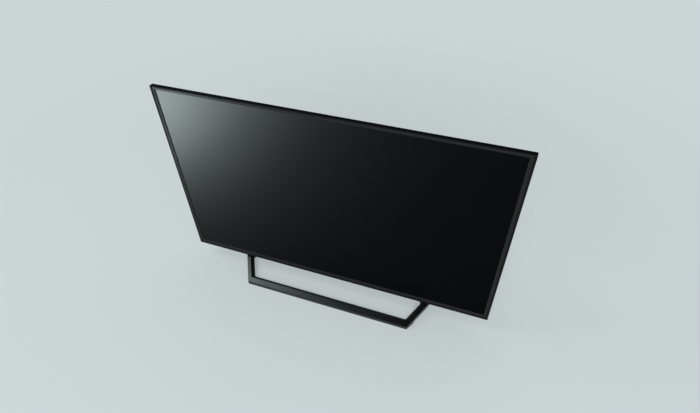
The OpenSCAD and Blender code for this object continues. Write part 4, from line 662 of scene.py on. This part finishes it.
def islands(node):
    """Lowest and highest corner of each separate solid in a CAD node."""
    body = bmesh.new()
    body.from_mesh(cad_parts[node].data)
    bmesh.ops.remove_doubles(body, verts=body.verts, dist=weld)
    left, found = set(body.verts), []
    while left:
        group, edge = set(), {left.pop()}
        while edge:
            group |= edge
            edge = {e.other_vert(v) for v in edge for e in v.link_edges} - group
        left -= group
        found.append((Vector([min(v.co[i] for v in group) for i in range(3)]),
                      Vector([max(v.co[i] for v in group) for i in range(3)])))
    body.free()
    return sorted(found, key=lambda box: tuple(box[0]))


# Which way a screw's head looks, as an axis and a sign, and how the screw is turned for that
to_back, to_floor = (1, 1), (2, -1)
screw_turns = {to_back: (-math.pi/2, 0, 0), to_floor: (math.pi, 0, 0)}


def screws(node, metal, slot, looks, head_height, shank_radius):
    """Crossed screws in the places of a CAD node's plain ones, as long and as wide in the head as those."""
    axis, sign = looks
    boxes = islands(node)
    first_low, first_high = boxes[0]
    head_radius = (first_high.x - first_low.x)/2
    seats = []
    for one_low, one_high in boxes:
        seat = (one_low + one_high)/2
        seat[axis] = (one_high if sign > 0 else one_low)[axis] - sign*head_height
        seats.append(seat)
    piece = grown(node + "_crossed", screw_tree, {
        "Head Radius": head_radius, "Head Height": head_height, "Shank Radius": shank_radius,
        "Shank Length": first_high[axis] - first_low[axis] - head_height,
        "Recess Width": head_radius*recess_wide_share, "Facing": screw_turns[looks], "Seed": screw_seed,
        "Metal": metal}, seats)
    return fit(even_shading(piece), metal, slot, node)


# Zinc plating: bright grey with a faint blue cast and fine turning lines
zinc_plate = surface("zinc_plated_steel", ("#9DA2A8", "#B9BDC2"), 3, (0.22, 0.35), 0.5, 0.003,
                     {"Metallic": 1.0})
# Black zinc: dark, oily, rubbed paler in places
black_zinc = surface("black_zinc_steel", ("#1B1B1D", "#2C2C2F"), 3, (0.3, 0.45), 0.5, 0.004,
                     {"Metallic": 0.8})
screws("frame_screws", zinc_plate, "screw_steel", to_back, head_height=0.9*mm, shank_radius=0.8*mm)
screws("board_screws", zinc_plate, "screw_steel", to_back, head_height=2.0*mm, shank_radius=1.4*mm)
screws("bracket_screws", zinc_plate, "screw_steel", to_back, head_height=2.6*mm, shank_radius=2.0*mm)
screws("cover_screws", black_zinc, "screw_black", to_back, head_height=2.2*mm, shank_radius=1.5*mm)
screws("stand_screws", black_zinc, "screw_black", to_floor, head_height=2.4*mm, shank_radius=2.0*mm)


# Wall-mount bosses: four turned steel posts that stand on the chassis and end level with the bulge's back.
# Their ends are faced on a lathe and tapped for M4 screws.
post_round = 0.5*mm
mount_posts = rounded_copy("wall_mount_bosses", "mount_posts", post_round)
fit(mount_posts, zinc_plate, "zinc_steel", "wall_mount_bosses")


# Plug sockets: folded nickel-plated shells with a plastic tongue and gold contacts, soldered to the main
# board. The flat ones and one wide one face the side pocket. The others look back through the deck.
shell_round = 0.15*mm
# Nickel plate: bright and slightly warm, with small scuffs
nickel_plate = surface("nickel_plated_shell", ("#9C9A95", "#B7B5AF"), 4, (0.2, 0.32), 0.6, 0.003,
                       {"Metallic": 1.0})
for node, name in (("hdmi_sockets", "wide_plug_shells"), ("usb_sockets", "flat_plug_shells"),
                   ("lan_socket", "network_shell")):
    fit(rounded_copy(node, name, shell_round), nickel_plate, "socket_shell", node)

row_tree, given = new_tree("contact_rows", {"Count": "Int", "First": "Vector", "Step": "Vector",
                                            "Size": "Vector", "Metal": "Material"})
line = add(row_tree, "GeometryNodeMeshLine", {"Count": given["Count"], "Start Location": given["First"],
                                              "Offset": given["Step"]}, mode="OFFSET")
strip = add(row_tree, "GeometryNodeMeshCube", {"Size": given["Size"]})
laid = add(row_tree, "GeometryNodeInstanceOnPoints", {"Points": line.outputs["Mesh"],
                                                      "Instance": strip.outputs["Mesh"]})
real = add(row_tree, "GeometryNodeRealizeInstances", {"Geometry": laid.outputs[0]})
gilt = add(row_tree, "GeometryNodeSetMaterial", {"Geometry": real.outputs[0], "Material": given["Metal"]})
add(row_tree, "NodeGroupOutput", {"Geometry": gilt.outputs[0]})


def join(name, pieces):
    """Several new pieces made into one."""
    body = bmesh.new()
    for piece in pieces:
        body.from_mesh(piece.data)
        bpy.data.objects.remove(piece)
    return new_piece(name, body)


# Gold flash: warm and shiny, thin over nickel
gold_flash = surface("gold_flashed_contact", ("#B58A35", "#CBA24E"), 2, (0.2, 0.3), 0.4, 0.001,
                     {"Metallic": 1.0})
# Contacts lie on both sides of a tongue, which starts a little way in. A shell taller than side_tall faces
# the side
contact_thin, contact_long, tongue_in, side_tall = 0.12*mm, 6.5*mm, 1.6*mm, 10*mm
wide_step, wide_bar, wide_tongue, wide_count = 0.9*mm, 0.5*mm, 1.0*mm, 10
flat_step, flat_bar, flat_tongue, flat_count = 1.9*mm, 1.1*mm, 1.9*mm, 4
contact_rows = []
for node, step, bar, tongue, count in (("hdmi_sockets", wide_step, wide_bar, wide_tongue, wide_count),
                                       ("usb_sockets", flat_step, flat_bar, flat_tongue, flat_count)):
    rise, row_in = (tongue + contact_thin)/2, tongue_in + contact_long/2
    for shell_low, shell_high in islands(node):
        row_middle = (shell_low + shell_high)/2
        if shell_high.z - shell_low.z > side_tall:
            along, off = Vector((0, 0, step)), Vector((0, rise, 0))
            size = Vector((contact_long, contact_thin, bar))
            row_middle.x = shell_low.x + row_in
        else:
            along, off = Vector((step, 0, 0)), Vector((0, 0, rise))
            size = Vector((bar, contact_long, contact_thin))
            row_middle.y = shell_high.y - row_in
        for side in (-1, 1):
            first = row_middle + side*off - along*(count - 1)/2
            contact_rows.append(grown("row", row_tree, {"Count": count, "First": first, "Step": along,
                                                        "Size": size, "Metal": gold_flash}))
# The network socket has one row, near its floor
net_step, net_bar, net_thick, net_long, net_count = 1.02*mm, 0.5*mm, 0.3*mm, 9*mm, 8
net_down, net_in = 3.9*mm, 6*mm
net_low, net_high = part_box("lan_socket")
net_middle = (net_low + net_high)/2
net_first = Vector((net_middle.x - net_step*(net_count - 1)/2, net_high.y - net_in, net_middle.z - net_down))
contact_rows.append(grown("row", row_tree, {
    "Count": net_count, "First": net_first, "Step": Vector((net_step, 0, 0)),
    "Size": Vector((net_bar, net_long, net_thick)), "Metal": gold_flash}))
fit(join("socket_contacts", contact_rows), gold_flash, "pin_brass")


# Black plastic sockets: headphone, optical and mains inlet, moulded in glass-filled nylon and soldered or
# snapped into place. The mains pins are plated brass.
nylon_round = 0.3*mm
# Glass-filled nylon: dense black, slightly mottled
black_nylon = surface("glass_filled_nylon", ("#101011", "#18181A"), 4, (0.45, 0.58), 0.6, 0.01)
# Plated brass: pale gold and smooth
plated_brass = surface("plated_brass_pin", ("#B39A5C", "#C9B174"), 3, (0.18, 0.3), 0.5, 0.002,
                       {"Metallic": 1.0})
for node, slot, name in (("headphone_jack", "chip_black", "headphone_body"),
                         ("optical_socket", "chip_black", "optical_body"),
                         ("mains_inlet", "inlet_plastic", "mains_body")):
    fit(rounded_copy(node, name, nylon_round), black_nylon, slot, node)
coat(plated_brass, "mains_pins")


# Phono jacks and antenna socket: turned brass barrels with nickel plate. Each phono barrel holds a coloured
# plastic insert, and the antenna barrel has a fine thread cut along it.
barrel_round, insert_in, insert_out, insert_deep = 0.25*mm, 1.7*mm, 3.4*mm, 0.3*mm
insert_taper, insert_proud, jack_pitch = 0.1*mm, 0.12*mm, 14*mm
# Nickel over brass: warm grey, bright from the lathe
barrel_nickel = surface("nickel_plated_brass", ("#A89C80", "#C2B698"), 3, (0.18, 0.3), 0.5, 0.003,
                        {"Metallic": 1.0})
for node, name in (("phono_jacks", "phono_barrels"), ("antenna_socket", "antenna_barrel")):
    fit(rounded_copy(node, name, barrel_round), barrel_nickel, "phono_metal", node)


def round_ring(centre, radius, y, steps=40):
    """Points of an upright circle at depth y."""
    turns = [2*math.pi*step/steps for step in range(steps)]
    return [(centre.x + radius*math.cos(a), y, centre.z + radius*math.sin(a)) for a in turns]


phono_low, phono_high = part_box("phono_jacks")
insert_back, insert_front = phono_high.y - insert_deep, phono_high.y + insert_proud
for place, name, tone in ((-1, "yellow", "#C9A11F"), (0, "white", "#D8D8D4"), (1, "red", "#A81F1A")):
    centre = (phono_low + phono_high)/2 + Vector((place*jack_pitch, 0, 0))
    insert = loft(name + "_phono_insert", [round_ring(centre, insert_in, insert_back),
                                           round_ring(centre, insert_out, insert_back),
                                           round_ring(centre, insert_out - insert_taper, insert_front),
                                           round_ring(centre, insert_in + insert_taper, insert_front)])
    # Coloured polypropylene: even, waxy
    dyed = surface(name + "_dyed_polypropylene", (tone, tone), 3, (0.35, 0.45), 0.5, 0.003)
    fit(even_shading(insert), dyed, "phono_metal")

thread_pitch, thread_ridge, thread_long, thread_in, barrel_radius = 0.8*mm, 0.2*mm, 7.2*mm, 0.9*mm, 4.75*mm
helix_steps, ridge_sides, ridge_degrees = 40, 5, 60
thread_tree, given = new_tree("turned_thread", {"Radius": "Float", "Length": "Float", "Pitch": "Float",
                                                "Ridge": "Float", "Base": "Vector", "Metal": "Material"})
rotations = add(thread_tree, "ShaderNodeMath", {0: given["Length"], 1: given["Pitch"]}, operation="DIVIDE")
helix = add(thread_tree, "GeometryNodeCurveSpiral",
            {"Resolution": helix_steps, "Rotations": rotations.outputs[0], "Start Radius": given["Radius"],
             "End Radius": given["Radius"], "Height": given["Length"]})
ridge = add(thread_tree, "GeometryNodeCurvePrimitiveCircle",
            {"Resolution": ridge_sides, "Radius": given["Ridge"]})
thread = add(thread_tree, "GeometryNodeCurveToMesh",
             {"Curve": helix.outputs[0], "Profile Curve": ridge.outputs[0], "Fill Caps": True})
stood = add(thread_tree, "GeometryNodeTransform",
            {"Geometry": thread.outputs[0], "Translation": given["Base"], "Rotation": (-math.pi/2, 0.0, 0.0)})
real = add(thread_tree, "GeometryNodeRealizeInstances", {"Geometry": stood.outputs[0]})
plated = add(thread_tree, "GeometryNodeSetMaterial",
             {"Geometry": real.outputs[0], "Material": given["Metal"]})
add(thread_tree, "NodeGroupOutput", {"Geometry": plated.outputs[0]})
antenna_low, antenna_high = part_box("antenna_socket")
antenna_middle = (antenna_low + antenna_high)/2
thread_base = Vector((antenna_middle.x, antenna_high.y - thread_long - thread_in, antenna_middle.z))
antenna_thread = grown("antenna_thread", thread_tree, {
    "Radius": barrel_radius, "Length": thread_long, "Pitch": thread_pitch, "Ridge": thread_ridge,
    "Base": thread_base, "Metal": barrel_nickel})
fit(even_shading(antenna_thread, ridge_degrees), barrel_nickel, "phono_metal")


# Keys: two round buttons and a rocker between them, moulded in black ABS, in holes of the cover's slab.
# The round ones press a switch each, and the rocker tips on its own pin.
key_round, key_band = 0.6*mm, 0.1*mm
# Matt-moulded ABS: black, a touch darker than the cover and finer in the grain
matt_abs = surface("matt_moulded_abs", ("#151516", "#1B1B1D"), 6, (0.45, 0.55), 0.7, 0.008)
for node, body, name in (("power_button", "power_key", "power_cap"),
                         ("input_button", "input_key", "input_cap"),
                         ("volume_rocker", "rocker_key", "volume_cap")):
    key_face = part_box(node)[1].y
    cap = rounded_copy(node, name, key_round, segments=3,
                       wanted=lambda edge: max(v.co.y for v in edge.verts) > key_face - key_band)
    fit(cap, matt_abs, "key_plastic", node, body=body)


# Infrared window: a small bar of smoked acrylic under the lower bezel, pushed into its slot from inside.
# It lets the remote control's light through to the receiver behind it.
window_round = 0.4*mm
# Smoked acrylic: almost black, deep red when lit, polished
smoked_acrylic = surface("smoked_acrylic", ("#1A0506", "#220708"), 5, (0.06, 0.1), 1.0, 0.001)
infrared_window = rounded_copy("infrared_lens", "infrared_window", window_round, segments=3)
fit(infrared_window, smoked_acrylic, "infrared_window", "infrared_lens")


# Stand: two open trapezoid frames of black ABS that meet under the cabinet, on four rubber pads.
# Two powder-coated steel brackets rise from the ridge into the cover and are screwed to the chassis.
stand_round, stand_flat, hole_edge, slope_dull = 0.5*mm, 300*mm*mm, 0.5*mm, 0.9
tongue_round, pad_round = 0.4*mm, 0.4*mm
# A face is upright where its normal rises by less than the first, and level where by more than the second
upright_rise, level_rise = 0.1, 0.9


def outer_stand_edge(edge):
    """True for the stand's upright corners and the edges of its top, and not for its slopes, its underside
    or its holes."""
    lower, upper = sorted(f.normal.z for f in edge.link_faces)
    no_slope = upper > level_rise or upper < upright_rise
    return edge.calc_length() > hole_edge and abs(lower) < upright_rise and no_slope


# ABS moulded in a polished tool: deep black, with a soft shine on the flat tops. The slopes round the opening
# come from an eroded part of the tool and are dull
stand_abs = surface("polished_moulded_abs", ("#030304", "#050506"), 40, (0.32, 0.37), 1.0, 0.003)
stand_tree = stand_abs.node_tree
stand_shader = stand_tree.nodes["Principled BSDF"]
sloped = add(stand_tree, "ShaderNodeAttribute", attribute_name="sloped").outputs["Fac"]
top_gloss = stand_shader.inputs["Roughness"].links[0].from_socket
stand_gloss = add(stand_tree, "ShaderNodeMix", {0: sloped, 2: top_gloss, 3: slope_dull}, data_type="FLOAT")
stand_tree.links.new(stand_gloss.outputs[0], stand_shader.inputs["Roughness"])
for node, name in (("stand_front_frame", "front_stand"), ("stand_rear_frame", "rear_stand")):
    stand = rounded_copy(node, name, stand_round, segments=3, wanted=outer_stand_edge, merge=coarse_weld,
                         flat_over=stand_flat)
    stand_low, stand_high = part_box(node)
    stand_middle = (stand_low + stand_high)/2
    marks = stand.data.attributes.new("sloped", "FLOAT", "FACE")
    for mark, face in zip(marks.data, stand.data.polygons):
        faces_in = (stand_middle - face.center).xy.dot(face.normal.xy) > 0
        mark.value = 1.0 if faces_in and upright_rise < face.normal.z < level_rise else 0.0
    fit(stand, stand_abs, "stand_plastic", node)
# Powder coat: semi-matt black with an orange-peel skin
powder_coat = surface("black_powder_coat", ("#121213", "#19191B"), 12, (0.45, 0.6), 1.6, 0.02)
tongues = rounded_copy("stand_brackets", "stand_tongues", tongue_round,
                       wanted=lambda edge: edge.calc_length() > hole_edge)
fit(tongues, powder_coat, "bracket_steel", "stand_brackets")
fit(rounded_copy("stand_feet", "foot_pads", pad_round), black_rubber, "black_rubber", "stand_feet")
